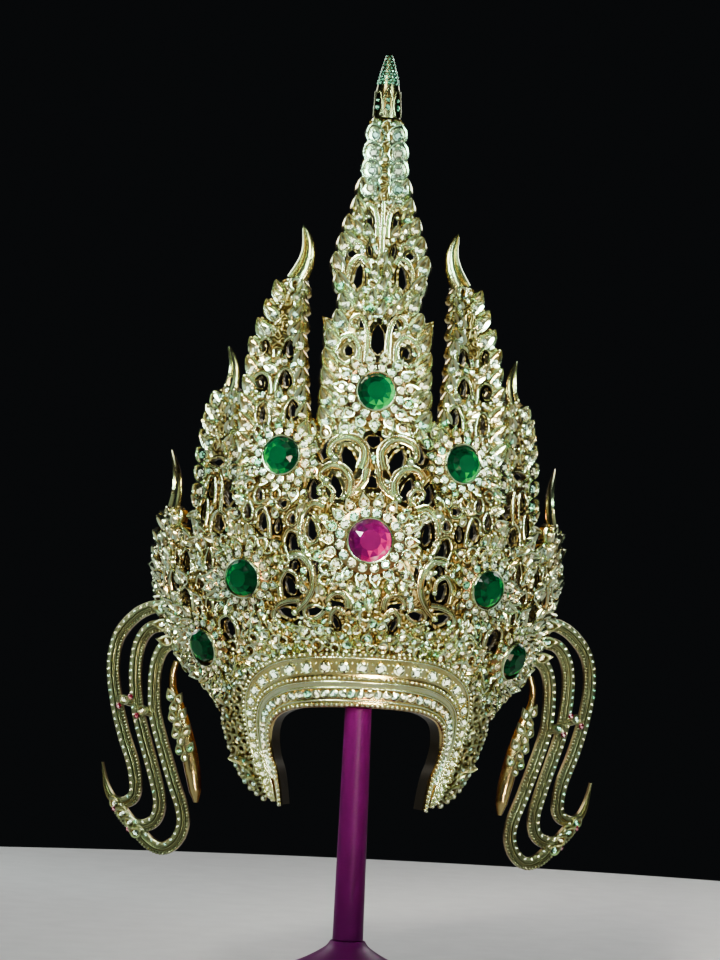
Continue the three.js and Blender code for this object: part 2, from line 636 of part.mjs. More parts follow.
// Sampled points along the whole arch, left to right, of an edge table given for the right half
function archPoints(rows, steps = FRAME_STEPS, reach = 1) {
  const curve = smoothCurve(rows);
  const right = Array.from({ length: steps + 1 }, (_, i) => curve.getPointAt((reach * i) / steps));
  const left = right.slice(1).map((p) => new THREE.Vector2(-p.x, p.y));
  return left.reverse().concat(right);
}

// Points at a place across the brow band, and the band's width at each
function acrossBand(across, steps = FRAME_STEPS, reach = 1) {
  const inner = archPoints(ARCH_EDGE, steps, reach);
  const outer = archPoints(BAND_EDGE, steps, reach);
  return {
    points: inner.map((p, i) => p.clone().lerp(outer[i], across)),
    widths: inner.map((p, i) => p.distanceTo(outer[i])),
  };
}

// Flat solid of the face frame: arch and lappets with raised rims and an inward flange
function faceFrameSolid() {
  const inner = archPoints(ARCH_EDGE);
  const outer = archPoints(LAPPET_EDGE);
  const plate = slab(inner.concat(outer.reverse()), OVERLAY, FRAME_TOP);
  const rims = FRAME_RIMS.map((rim) => {
    const { points } = acrossBand(rim.across);
    return slab(ribbon(points, points.map(() => rim.half)), FRAME_TOP - BITE, FRAME_TOP + FRAME_RIM);
  });
  const lipEdge = inner.map((p, i) => {
    const before = inner[Math.max(i - 1, 0)];
    const after = inner[Math.min(i + 1, inner.length - 1)];
    const along = after.clone().sub(before).normalize();
    return new THREE.Vector2(p.x - along.y * FLANGE_WIDTH, p.y + along.x * FLANGE_WIDTH);
  });
  const flange = slab(inner.concat(lipEdge.reverse()), FLANGE_BACK, FRAME_TOP - BITE);
  return join([plate, flange, ...rims]);
}

// Flat solid of the row of spaced stones on its strip along the brow band
function browStonesSolid() {
  const strip = acrossBand(BROW_ROW.across, FRAME_STEPS, BROW_ROW.reach);
  const halves = strip.widths.map((width) => width * BROW_ROW.half);
  const band = slab(ribbon(strip.points, halves), FRAME_TOP + OVERLAY_GAP, BROW_STRIP_TOP);
  const seats = acrossBand(BROW_ROW.across, (BROW_ROW.stones - 1) / 2, BROW_ROW.lastStone);
  const middle = BROW_STRIP_TOP - BROW_STONE_SINK + BROW_STONE_HEIGHT / 2;
  const stones = seats.points.map((p, i) => {
    const radius = seats.widths[i] * BROW_ROW.stone;
    const table = radius * BROW_STONE_TABLE;
    const cut = new THREE.CylinderGeometry(table, radius, BROW_STONE_HEIGHT, BROW_STONE_SIDES);
    return toSolid(cut.rotateX(Math.PI / 2).translate(p.x, p.y, middle));
  });
  return join([band, ...stones]);
}

// Front-on layout of an ear flare to its real place beside the crown
function placeFlare(geometry, side) {
  const rootX = (bodyRadius(FLARE_ROOT.h) + WALL) * Math.sin(FLARE_ROOT_ANGLE);
  const rootY = AXIS_Y - (bodyRadius(FLARE_ROOT.h) + WALL) * Math.cos(FLARE_ROOT_ANGLE);
  mapVertices(geometry, (e, h, t) => {
    const out = e - FLARE_ROOT.e;
    const x = rootX + out + t * Math.sin(FLARE_TURN);
    const y = rootY + out * Math.tan(FLARE_TURN) - t * Math.cos(FLARE_TURN);
    return new THREE.Vector3(side * x, y, BROW_Z + h);
  });
  return side < 0 ? flip(geometry) : geometry;
}

// Flat solid of an ear flare: three bands, their ties and the root plate that meets the wall
function flareSolid() {
  const ROOT = { low: 29, high: 57, inside: 4, outside: 6 };
  const growth = (h) => bodyRadius(h) - bodyRadius(FLARE_ROOT.h);
  const wallEdge = (h) => FLARE_ROOT.e + growth(h) * Math.sin(FLARE_ROOT_ANGLE);
  const solids = [];
  FLARE_BANDS.forEach((rows, band) => {
    const centres = smoothCurve(rows, 'e').getSpacedPoints(FLARE_STEPS);
    const halves = centres.map((_, i) => {
      const pastHook = (i / FLARE_STEPS - FLARE_HOOK_FROM) / (1 - FLARE_HOOK_FROM);
      const taper = band === 0 && pastHook > 0 ? 1 + FLARE_HOOK_END - pastHook : 1;
      return FLARE_HALF_WIDTH * taper;
    });
    solids.push(slab(ribbon(centres, halves), -FLARE_HALF_THICK, FLARE_HALF_THICK));
  });
  for (const tie of FLARE_TIES) {
    const ends = [tie.from, tie.to].map((p) => new THREE.Vector2(p.e, p.h));
    solids.push(slab(ribbon(ends, [tie.half, tie.half]), -FLARE_HALF_THICK, FLARE_HALF_THICK));
  }
  const root = [
    new THREE.Vector2(wallEdge(ROOT.low) - ROOT.inside, ROOT.low),
    new THREE.Vector2(wallEdge(ROOT.low) + ROOT.outside, ROOT.low),
    new THREE.Vector2(wallEdge(ROOT.high) + ROOT.outside, ROOT.high),
    new THREE.Vector2(wallEdge(ROOT.high) - ROOT.inside, ROOT.high),
  ];
  solids.push(slab(root, -FLARE_HALF_THICK, FLARE_HALF_THICK));
  return join(solids);
}

// A placed ear piece cut back so that its root follows the front of the end petal
function trimToWall(geometry, side) {
  const end = PETALS.find((petal) => petal.name === 'end');
  const [low, high, behind] = [4, 70, 8];
  const patch = [
    new THREE.Vector2(-end.half, low), new THREE.Vector2(end.half, low),
    new THREE.Vector2(end.half, high), new THREE.Vector2(-end.half, high),
  ];
  const wall = toSolid(bend(slab(patch, -behind, WALL + OVERLAY_GAP), end.angle, side));
  return toGeometry(toSolid(geometry).subtract(wall));
}

// Flat solid of the flame drop inside an ear flare
function flameSolid() {
  const STEPS = 14;
  const centres = smoothCurve(FLAME_SPINE, 'e').getPoints(STEPS);
  const halves = centres.map((_, i) => {
    const place = (i / STEPS) * (FLAME_SPINE.length - 1);
    const row = Math.min(Math.floor(place), FLAME_SPINE.length - 2);
    return THREE.MathUtils.lerp(FLAME_SPINE[row].half, FLAME_SPINE[row + 1].half, place - row);
  });
  const ridge = halves.map((half) => half * FLAME_CREST_WIDTH);
  const body = slab(ribbon(centres, halves), -FLAME_HALF_THICK, FLAME_HALF_THICK);
  return body.add(slab(ribbon(centres, ridge), 0, FLAME_CREST));
}

// Domed base of the stand
function standBase() {
  const DOME = [
    { out: 1, up: 0 }, { out: 1, up: 0.12 }, { out: 0.84, up: 0.33 }, { out: 0.56, up: 0.5 },
    { out: 0.29, up: 0.72 }, { out: 0.14, up: 0.9 }, { out: 0.1, up: 1 },
  ];
  const SIDES = 24;
  const profile = DOME.map((row) => new THREE.Vector2(row.out * BASE_RADIUS, row.up * BASE_TOP));
  profile.unshift(new THREE.Vector2(0, 0));
  profile.push(new THREE.Vector2(0, BASE_TOP));
  return new THREE.LatheGeometry(profile, SIDES).rotateX(Math.PI / 2);
}

// Tapered post of the stand
function standPost() {
  const SIDES = 20;
  const height = BROW_Z - BASE_TOP - 2 * GAP;
  const post = new THREE.CylinderGeometry(POST_TOP_RADIUS, POST_FOOT_RADIUS, height, SIDES);
  return post.rotateX(Math.PI / 2).translate(0, 0, BASE_TOP + GAP + height / 2);
}

// Upright tongue of the stand, behind the brow
function standRest() {
  const STAND_OFF = FLANGE_BACK - OVERLAY_GAP;
  const LEAN_UNTIL = 66;
  const half = REST_WIDTH / 2;
  const outline = [
    new THREE.Vector2(-half, 0), new THREE.Vector2(half, 0),
    new THREE.Vector2(half, REST_HEIGHT), new THREE.Vector2(-half, REST_HEIGHT),
  ];
  const fine = splitLongEdges(toGeometry(slab(outline, -REST_THICK, 0)));
  return mapVertices(fine, (s, h, t) => {
    const standOff = THREE.MathUtils.lerp(STAND_OFF, -OVERLAY_GAP, ease(h / LEAN_UNTIL));
    return surfacePoint(s / PANEL_RADIUS, h, standOff + t);
  });
}

const crown = new THREE.Group();

// Adds one named piece with a material of its own
function addPiece(name, geometry, finish) {
  const mesh = new THREE.Mesh(geometry, new THREE.MeshStandardMaterial(finish));
  mesh.name = name;
  crown.add(mesh);
}

// Name ending for a piece on one side of the crown
function sideName(side) {
  if (side === 0) return '';
  return side < 0 ? '_left' : '_right';
}

// Sides on which a piece stands: the middle alone, or left and right
function sidesOf(piece) {
  return piece.angle === 0 ? [0] : [-1, 1];
}

addPiece('stand_base', standBase(), MAGENTA);
addPiece('stand_post', standPost(), MAGENTA);
addPiece('stand_rest', standRest(), MAGENTA);
addPiece('face_frame', bend(faceFrameSolid(), 0, 1, FRAME_RADIUS), GOLD);
addPiece('brow_stones', bend(browStonesSolid(), 0, 1, FRAME_RADIUS), CRYSTAL);

for (const petal of PETALS) {
  const wall = petalSolid(petal);
  const tip = tipSolid(petal);
  for (const side of sidesOf(petal)) {
    addPiece(`petal_${petal.name}${sideName(side)}`, bend(wall, petal.angle, side), GOLD);
    addPiece(`tip_${petal.name}${sideName(side)}`, bend(tip, petal.angle, side), GOLD);
  }
}

for (const rosette of ROSETTES) {
  const setting = settingSolid(rosette);
  for (const side of sidesOf(rosette)) {
    addPiece(`setting_${rosette.name}${sideName(side)}`, bend(setting, rosette.angle, side), GOLD);
    addPiece(`stone_${rosette.name}${sideName(side)}`, stoneGeometry(rosette, side), rosette.finish);
  }
}

for (const side of [-1, 1]) {
  const flare = placeFlare(toGeometry(flareSolid()), side);
  const flame = placeFlare(toGeometry(flameSolid()), side);
  addPiece(`ear_flare${sideName(side)}`, trimToWall(flare, side), GOLD);
  addPiece(`ear_flame${sideName(side)}`, trimToWall(flame, side), GOLD);
}

export default crown;
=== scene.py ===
"""Dresses the headdress and its stand: gilt castings, stone-set leaves, cut stones and a plain studio."""

from __future__ import annotations

import logging
import math
from abc import ABC, abstractmethod
from dataclasses import dataclass
from enum import Enum
from functools import partial
from typing import Callable, NamedTuple, Sequence

import bmesh
import bpy
import numpy as np
from bpy.types import Material, Mesh, Node, NodeSocket, NodeTree, Object
from mathutils import Matrix, Vector

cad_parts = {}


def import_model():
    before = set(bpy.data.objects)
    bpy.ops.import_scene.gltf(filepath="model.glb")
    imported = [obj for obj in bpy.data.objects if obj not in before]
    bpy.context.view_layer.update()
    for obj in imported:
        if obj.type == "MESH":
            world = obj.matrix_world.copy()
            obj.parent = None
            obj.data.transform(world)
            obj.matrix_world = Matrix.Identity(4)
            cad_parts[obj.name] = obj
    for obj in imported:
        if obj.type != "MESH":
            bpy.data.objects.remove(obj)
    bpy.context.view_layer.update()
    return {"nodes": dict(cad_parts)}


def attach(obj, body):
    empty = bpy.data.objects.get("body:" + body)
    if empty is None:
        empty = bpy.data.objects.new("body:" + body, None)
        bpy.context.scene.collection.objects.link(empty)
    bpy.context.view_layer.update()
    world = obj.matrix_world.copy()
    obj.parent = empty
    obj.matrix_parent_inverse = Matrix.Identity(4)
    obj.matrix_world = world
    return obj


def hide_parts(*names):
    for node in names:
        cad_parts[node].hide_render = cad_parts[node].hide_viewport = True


LOG = logging.getLogger("headdress")
BODY = "root"
MM = 0.001
SEED = 41
TINY = 1e-9
MERGE_WITHIN = 1e-7
DROP_POINT, DROP_SWELL = 0.35, 0.75
UPRIGHT = np.eye(3)
ORIGIN = np.zeros(3)
FLIP = (-1.0, 1.0)
SHARP_CAST, SHARP_BAND, SHARP_SCROLL = 42.0, 50.0, 60.0

Array = np.ndarray
Axes = tuple[Array, Array, Array]
Rows = Sequence[Sequence[float]]
Pair = tuple[float, float]
Pairs = tuple[Pair, ...]
Triple = tuple[float, float, float]
Triples = tuple[Triple, ...]
Colour = Triple
Taken = list[Triple]


class Hand(Enum):
    """Side of the crown that a piece stands on, as the viewer sees it."""

    LEFT = -1
    MIDDLE = 0
    RIGHT = 1

    @property
    def sign(self) -> int:
        """Sign of x on this side, with the middle built like the right."""
        return -1 if self is Hand.LEFT else 1

    @property
    def suffix(self) -> str:
        """Ending of the name of a piece on this side."""
        return "" if self is Hand.MIDDLE else f"_{self.name.lower()}"

    @classmethod
    def at(cls, angle: float) -> tuple[Hand, ...]:
        """Sides that a piece stands on, by its angle from the front."""
        return (cls.MIDDLE,) if angle == 0.0 else (cls.LEFT, cls.RIGHT)


class Slot(Enum):
    """Material slots of the record."""

    GILT = "gilt"
    CRYSTAL = "crystal"
    GREEN = "green_stone"
    PINK = "pink_stone"
    STAND = "stand"


class TipForm(Enum):
    """Forms that end a spire."""

    HORN = "horn"
    FINIAL = "finial"


# Geometry of the crown's wall


class Level(NamedTuple):
    """Radius of the wall's back face at one height above the brow."""

    radius: float
    h: float

    def swell(self, end: Level, h: Array) -> Array:
        """Smooth growth of the radius from this level to another."""
        u = np.clip((h - self.h) / (end.h - self.h), 0.0, 1.0)
        return (end.radius - self.radius) * (u * u * (3.0 - 2.0 * u))


@dataclass(frozen=True)
class Wall:
    """The round wall that carries the castings, in millimetres as in the solids."""

    brow_height: float = 186.0
    post_setback: float = 4.0
    foot: Level = Level(88.0, -66.0)
    belly: Level = Level(125.0, 95.0)
    crest: Level = Level(104.0, 400.0)
    thick: float = 3.0
    overlay: float = 3.7

    def radius(self, h: Array) -> Array:
        """Radius of the wall's back face at heights h."""
        return self.foot.radius + self.foot.swell(self.belly, h) + self.belly.swell(self.crest, h)

    @property
    def axis_y(self) -> float:
        """Place of the crown's axis behind the post."""
        return float(self.radius(np.array(0.0))) - self.post_setback


WALL = Wall()


# Flat layouts, each laid on a surface of the crown


class Site(ABC):
    """A surface that a flat layout is laid on: s runs along it and h up it."""

    hand: Hand

    @abstractmethod
    def place(self, s: Array, h: Array, t: Array) -> Array:
        """Points in metres of flat places at distances t out."""

    @abstractmethod
    def axes(self, s: Array, h: Array) -> Axes:
        """Directions of growing s, growing h and outwards at flat places."""

    def line(self, path: Array, t: float) -> Array:
        """Points in metres of a flat path at a distance t out."""
        return self.place(path[:, 0], path[:, 1], t)

    def frame(self, s: float, h: float) -> list[Array]:
        """The three directions at one flat place."""
        return [axis.reshape(3) for axis in self.axes(s, h)]


@dataclass(frozen=True)
class WallSite(Site):
    """A layout bent round the wall, with its middle at one angle and heights from the brow."""

    angle: float
    hand: Hand = Hand.MIDDLE
    reference: float = 120.0

    def theta(self, s: Array) -> Array:
        """Angles round the crown of places along the layout."""
        return self.hand.sign * (math.radians(self.angle) + np.asarray(s, float) / self.reference)

    def place(self, s: Array, h: Array, t: Array) -> Array:
        """Points in metres of flat places.

        Args:
            s: Places along the wall.
            h: Heights above the brow.
            t: Distances out from the back face.

        Returns:
            The points.
        """
        theta, h = self.theta(s), np.asarray(h, float)
        radius = WALL.radius(h) + t
        x, y = radius * np.sin(theta), WALL.axis_y - radius * np.cos(theta)
        return np.stack([x, y, WALL.brow_height + h + 0.0 * radius], -1) * MM

    def axes(self, s: Array, h: Array) -> Axes:
        """Directions of growing s, growing h and outwards.

        Args:
            s: Places along the wall.
            h: Heights above the brow.

        Returns:
            Three arrays of unit vectors.
        """
        theta, h = self.theta(s), np.asarray(h, float)
        slope = WALL.radius(h + 0.5) - WALL.radius(h - 0.5)
        along = np.stack([np.cos(theta), np.sin(theta), 0.0 * theta], -1)
        up = np.stack([slope * np.sin(theta), -slope * np.cos(theta), 1.0 + 0.0 * theta], -1)
        up /= np.linalg.norm(up, axis=-1, keepdims=True)
        return along * self.hand.sign, up, np.cross(along, up)


@dataclass(frozen=True)
class FlareSite(Site):
    """A layout in the plane of one ear flare, measured as it is seen from the front."""

    hand: Hand
    turn: float = math.radians(20.0)
    root_angle: float = math.radians(75.0)
    root_s: float = 15.0
    root_h: float = 44.0

    def place(self, s: Array, h: Array, t: Array) -> Array:
        """Points in metres of flat places.

        Args:
            s: Places sideways.
            h: Heights above the brow.
            t: Distances in front of the plane.

        Returns:
            The points.
        """
        reach = float(WALL.radius(np.array(self.root_h))) + WALL.thick
        out = np.asarray(s, float) - self.root_s
        x = reach * math.sin(self.root_angle) + out + t * math.sin(self.turn)
        y = WALL.axis_y - reach * math.cos(self.root_angle) + out * math.tan(self.turn)
        z = WALL.brow_height + np.asarray(h, float) + 0.0 * x
        return np.stack([self.hand.sign * x, y - t * math.cos(self.turn), z], -1) * MM

    def axes(self, s: Array, h: Array) -> Axes:
        """Directions of growing s, growing h and outwards, the same all over the plane.

        Args:
            s: Places sideways, which give the arrays their shape.
            h: Heights above the brow; not used.

        Returns:
            Three arrays of unit vectors.
        """
        ones = np.ones(np.shape(s) + (1,))
        along = np.array([self.hand.sign * math.cos(self.turn), math.sin(self.turn), 0.0])
        out = np.array([self.hand.sign * math.sin(self.turn), -math.cos(self.turn), 0.0])
        return along * ones, UPRIGHT[2] * ones, out * ones


class Seat(NamedTuple):
    """Where a small shape sits: its place, and where its point looks and leans out, in degrees."""

    site: Site
    s: float
    h: float
    t: float
    turn: float = 0.0
    tilt: float = 0.0

    def bends_right(self, bend: int) -> bool:
        """Whether a bend towards growing s is one to the viewer's right."""
        return bend * self.site.hand.sign > 0


class Placed(NamedTuple):
    """A small shape in a layout: its place, turn and size, and the side that it curls to."""

    s: float
    h: float
    turn: float
    size: float
    bend: int = 1

    def seat(self, site: Site, t: float, tilt: float = 0.0) -> Seat:
        """Its seat at a distance out."""
        return Seat(site, self.s, self.h, t, self.turn, tilt)

    def taken(self) -> Triple:
        """The round spot that it covers."""
        return self.s, self.h, self.size


# Curves in the flat layouts


def run_of(path: Array) -> Array:
    """Distance along a path to each of its points."""
    return np.r_[0.0, np.cumsum(np.linalg.norm(np.diff(path, axis=0), axis=1))]


def respaced(path: Array, count: int) -> Array:
    """A number of evenly spaced points along a path of close points."""
    run = run_of(path)
    return np.stack([np.interp(np.linspace(0.0, run[-1], count), run, axis) for axis in path.T], 1)


def at_pitch(path: Array, pitch: float) -> Array:
    """Evenly spaced points along a path, about a pitch apart."""
    return respaced(path, round(run_of(path)[-1] / pitch))


def smooth_path(rows: Rows, count: int) -> Array:
    """Evenly spaced points on a smooth curve.

    Args:
        rows: Points of two coordinates that the curve passes through.
        count: How many points to return.

    Returns:
        An array of points.
    """
    steps = 24
    knots = np.array([(row[0], row[1]) for row in rows], float)
    padded = np.vstack([knots[:1], knots, knots[-1:]])
    u = np.linspace(0.0, 1.0, steps, endpoint=False)[:, None]
    runs = []
    for before, start, end, after in zip(padded, padded[1:], padded[2:], padded[3:]):
        leave, arrive = (end - before) / 2.0, (after - start) / 2.0
        cubic = (2.0 * (start - end) + leave + arrive) * u**3
        runs.append(cubic + (3.0 * (end - start) - 2.0 * leave - arrive) * u**2 + leave * u + start)
    return respaced(np.vstack(runs + [knots[-1:]]), count)


def arch(rows: Pairs, half_count: int) -> Array:
    """A whole arch, left to right, from the table of its right half."""
    right = smooth_path(rows, half_count + 1)
    return np.vstack([right[:0:-1] * FLIP, right])


class Gap(NamedTuple):
    """A teardrop cut through the wall: its middle, length, width and turn in degrees."""

    s: float
    h: float
    length: float
    width: float
    turn: float

    def girth(self, a: Array, margin: float) -> Array:
        """Distance of the edge from the long axis, at angles a round from the point."""
        share = DROP_POINT + DROP_SWELL * np.sin(a / 2.0)
        return (self.width / 2.0 + margin) * np.sin(a) * share

    def outline(self, margin: float, turns: Array) -> Array:
        """Points round the gap.

        Args:
            margin: Distance outside the gap's edge.
            turns: Shares of a whole turn, from the point round to the point again.

        Returns:
            Flat points.
        """
        a, turn = 2.0 * np.pi * turns, math.radians(self.turn)
        across, along = self.girth(a, margin), (self.length / 2.0 + margin) * np.cos(a)
        s = self.s - across * math.cos(turn) + along * math.sin(turn)
        return np.stack([s, self.h + across * math.sin(turn) + along * math.cos(turn)], 1)

    def holds(self, s: float, h: float, margin: float) -> bool:
        """Whether a place lies in the gap or near it.

        Args:
            s: Place along the layout.
            h: Its height.
            margin: How near counts as in it.

        Returns:
            True where it does.
        """
        turn, reach = math.radians(self.turn), self.length / 2.0 + margin
        along = (s - self.s) * math.sin(turn) + (h - self.h) * math.cos(turn)
        across = -(s - self.s) * math.cos(turn) + (h - self.h) * math.sin(turn)
        return abs(along) <= reach and abs(across) < self.girth(math.acos(along / reach), margin)


def encloses(fence: Array, s: float, h: float) -> bool:
    """Whether a place lies inside a closed line.

    Args:
        fence: Flat points of the line.
        s: Place along the layout.
        h: Its height.

    Returns:
        True where it does.
    """
    ahead = np.roll(fence, -1, axis=0)
    crossed = (fence[:, 1] > h) != (ahead[:, 1] > h)
    start, end = fence[crossed], ahead[crossed]
    at = start[:, 0] + (end[:, 0] - start[:, 0]) * ((h - start[:, 1]) / (end[:, 1] - start[:, 1]))
    return (at > s).sum() % 2 == 1


# Meshes


@dataclass(frozen=True)
class Profile:
    """Section of a band: half widths across, and rises in heights or in shares of the half width."""

    rows: Pairs
    share: float = 1.0
    height: float = 0.0


def mirrored(rows: Pairs) -> Pairs:
    """A whole section from its right half, which ends in the middle."""
    return (*rows, *((-across, rise) for across, rise in rows[-2::-1]))


RIBBED = Profile(mirrored((
    (1.0, -0.9), (1.0, 0.1), (0.86, 0.62), (0.66, 0.66), (0.52, 0.3), (0.36, 0.82), (0.14, 0.92), (0.0, 0.6),
)), share=0.8)
BLADE = Profile((
    (1.0, 0.0), (0.72, 0.55), (0.3, 0.9), (0.0, 1.0), (-0.4, 0.78), (-0.75, 0.4), (-1.0, 0.0),
    (-0.7, -0.5), (0.0, -0.8), (0.7, -0.5),
), share=0.8)
HORN = Profile((
    (1.0, 0.0), (0.9, 0.35), (0.5, 0.7), (0.12, 0.8), (-0.12, 0.62), (-0.26, 0.2), (-0.42, 0.5),
    (-0.6, 1.0), (-0.78, 0.75), (-1.0, 0.0), (-0.6, -0.6), (0.6, -0.6),
), share=0.62)
FLARE_BAND = Profile((
    (1.0, 0.2), (0.98, 0.6), (0.9, 0.75), (0.34, 0.75), (0.26, 1.0), (0.16, 1.0), (0.08, 0.4),
    (-0.32, 0.4), (-0.4, 0.9), (-0.5, 0.9), (-0.58, 0.5), (-1.0, 0.4), (-1.0, -0.8), (1.0, -0.8),
), height=2.2)


class Shape:
    """A growing mesh with a crest value at each vertex: 0 in the recesses, 1 on the ridges, which picks the
    gilt's painted shade and painted highlight.
    """

    def __init__(self) -> None:
        """Starts an empty shape."""
        self.points: list[Array] = []
        self.crests: list[Array] = []
        self.faces: list[tuple[int, ...]] = []
        self.count = 0

    def tube(self, rings: Array, crest: Array | float, looped: bool = False) -> None:
        """Adds a tube through rings of points in metres, with flat ends.

        Args:
            rings: Array of rings, points and coordinates.
            crest: Crest value of each point of a ring, of each ring or of all.
            looped: Whether the last ring joins the first, without ends.
        """
        count, sides, _ = rings.shape
        index = self.count + np.arange(count * sides).reshape(count, sides)
        first, last = index[0].tolist(), index[-1].tolist()
        for near, far in zip(index, (*index[1:], index[0]) if looped else index[1:]):
            quads = np.stack([near, np.roll(near, -1), np.roll(far, -1), far], 1)
            self.faces += map(tuple, quads.tolist())
        if not looped:
            self.faces += [tuple(first[::-1]), tuple(last)]
        self.points.append(rings.reshape(-1, 3))
        self.crests.append(np.broadcast_to(crest, (count, sides)).ravel())
        self.count += count * sides

    def sweep(self, site: Site, path: Array, profile: Profile, half: Array | float, lift: float,
              crest: float = 1.0) -> None:
        """Adds a band that follows a flat path.

        Args:
            site: The layout that the path lies in.
            path: Flat points of the band's centre line.
            profile: The band's section.
            half: Half width at each point, or all along.
            lift: Distance of the section's zero line out from the surface.
            crest: Crest value of the section's highest line.
        """
        half = np.broadcast_to(half, len(path))
        along, up, out = site.axes(path[:, 0], path[:, 1])
        heading = np.gradient(path, axis=0)
        heading /= np.linalg.norm(heading, axis=1, keepdims=True) + TINY
        left = along * -heading[:, 1:] + up * heading[:, :1]
        across, rise = np.array(profile.rows).T
        height = np.broadcast_to(profile.height or profile.share * half, len(path))
        rings = site.line(path, lift)[:, None] + left[:, None] * (across * half[:, None])[..., None] * MM
        rings = rings + out[:, None] * (rise * height[:, None])[..., None] * MM
        self.tube(rings, crest * np.clip(rise, 0.0, 1.0))

    def turned(self, frame: Array, origin: Array, rows: Rows, sides: int) -> None:
        """Adds a turned form that is closed at both ends of its profile.

        Args:
            frame: Three rows: two directions across and the axis.
            origin: Where the profile's zero height lies.
            rows: Radius and height of each ring in millimetres, and its crest value.
            sides: Number of sides.
        """
        a = np.linspace(0.0, 2.0 * np.pi, sides, endpoint=False)
        round_way = np.cos(a)[:, None] * frame[0] + np.sin(a)[:, None] * frame[1]
        table = np.array(rows, float)
        rings = origin + (table[:, 0, None, None] * round_way + table[:, 1, None, None] * frame[2]) * MM
        self.tube(rings, table[:, 2:])

    def ball(self, centre: Array, radius: float, out: Array) -> None:
        """Adds a small ball.

        Args:
            centre: Its middle, in metres.
            radius: Its radius in millimetres.
            out: Direction of its poles.
        """
        across = np.cross(out, UPRIGHT[2] if abs(out[2]) < 0.9 else UPRIGHT[0])
        across /= np.linalg.norm(across)
        rise = np.radians((-60.0, -20.0, 20.0, 55.0, 80.0))
        rows = [(radius * math.cos(a), radius * math.sin(a), 0.5 + 0.5 * math.sin(a)) for a in rise]
        self.turned(np.array([across, np.cross(out, across), out]), centre, rows, 8)

    def build(self, name: str, finish: Material, sharp: float = SHARP_CAST) -> Object:
        """Makes the object, smooth but for sharp edges.

        Args:
            name: Name of the object.
            finish: Its material.
            sharp: Edges that turn more than this many degrees stay sharp.

        Returns:
            The object, linked to the scene.
        """
        mesh = bpy.data.meshes.new(name)
        mesh.from_pydata(np.vstack(self.points).tolist(), [], self.faces)
        crest = mesh.attributes.new("crest", "FLOAT", "POINT")
        crest.data.foreach_set("value", np.concatenate(self.crests).astype(np.float32))
        grown = bmesh.new()
        grown.from_mesh(mesh)
        bmesh.ops.remove_doubles(grown, verts=grown.verts, dist=MERGE_WITHIN)
        bmesh.ops.recalc_face_normals(grown, faces=grown.faces)
        grown.to_mesh(mesh)
        grown.free()
        mesh.shade_smooth()
        mesh.set_sharp_from_angle(angle=math.radians(sharp))
        mesh.materials.append(finish)
        return link_object(name, mesh)


def link_object(name: str, mesh: Mesh) -> Object:
    """Puts a mesh in the scene.

    Args:
        name: Name of the object.
        mesh: Its mesh.

    Returns:
        The object, at the origin.
    """
    thing = bpy.data.objects.new(name, mesh)
    bpy.context.scene.collection.objects.link(thing)
    return thing


def joined(name: str, parts: Sequence[Object]) -> Object:
    """Joins objects into the first of them.

    Args:
        name: Name of the joined object.
        parts: The objects.

    Returns:
        The joined object.
    """
    first = parts[0]
    chosen = {"active_object": first, "object": first, "selected_objects": list(parts)}
    with bpy.context.temp_override(selected_editable_objects=list(parts), **chosen):
        bpy.ops.object.join()
    first.name = name
    first.data.name = name
    return first


def settled(piece: Object, slot: Slot, *nodes: str) -> None:
    """Rides a finished piece on the body and reports it.

    Args:
        piece: The finished object.
        slot: Material slot of the record; not used.
        nodes: Solids that the piece stands for.
    """
    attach(piece, BODY)
    if nodes:
        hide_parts(*nodes)
    LOG.info("%s: %d faces", piece.name, len(piece.data.polygons))


# Finishes


class Graph:
    """A node tree, with short ways to add nodes and join them."""

    def __init__(self, tree: NodeTree) -> None:
        """Takes the tree."""
        self.tree = tree

    def node(self, kind: str, *inputs: object, **named: object) -> Node:
        """Adds a node.

        Args:
            kind: Type of the node.
            inputs: A socket or a value for each of its first inputs.
            named: Settings of the node, in small letters, and other inputs by their names.

        Returns:
            The node.
        """
        made = self.tree.nodes.new(kind)
        for key, value in named.items():
            if key.islower():
                setattr(made, key, value)
        for socket, value in zip(made.inputs, inputs):
            self.join(value, socket)
        self.feed(made, **{key: value for key, value in named.items() if not key.islower()})
        return made

    def feed(self, node: Node, **values: object) -> None:
        """Links or sets a node's inputs, named with underscores for spaces."""
        for key, value in values.items():
            self.join(value, node.inputs[key.replace("_", " ")])

    def join(self, value: object, socket: NodeSocket) -> None:
        """Links a socket to an input, or sets the input's value.

        Args:
            value: The socket or the value.
            socket: The input.
        """
        if isinstance(value, NodeSocket):
            self.tree.links.new(value, socket)
        else:
            socket.default_value = value


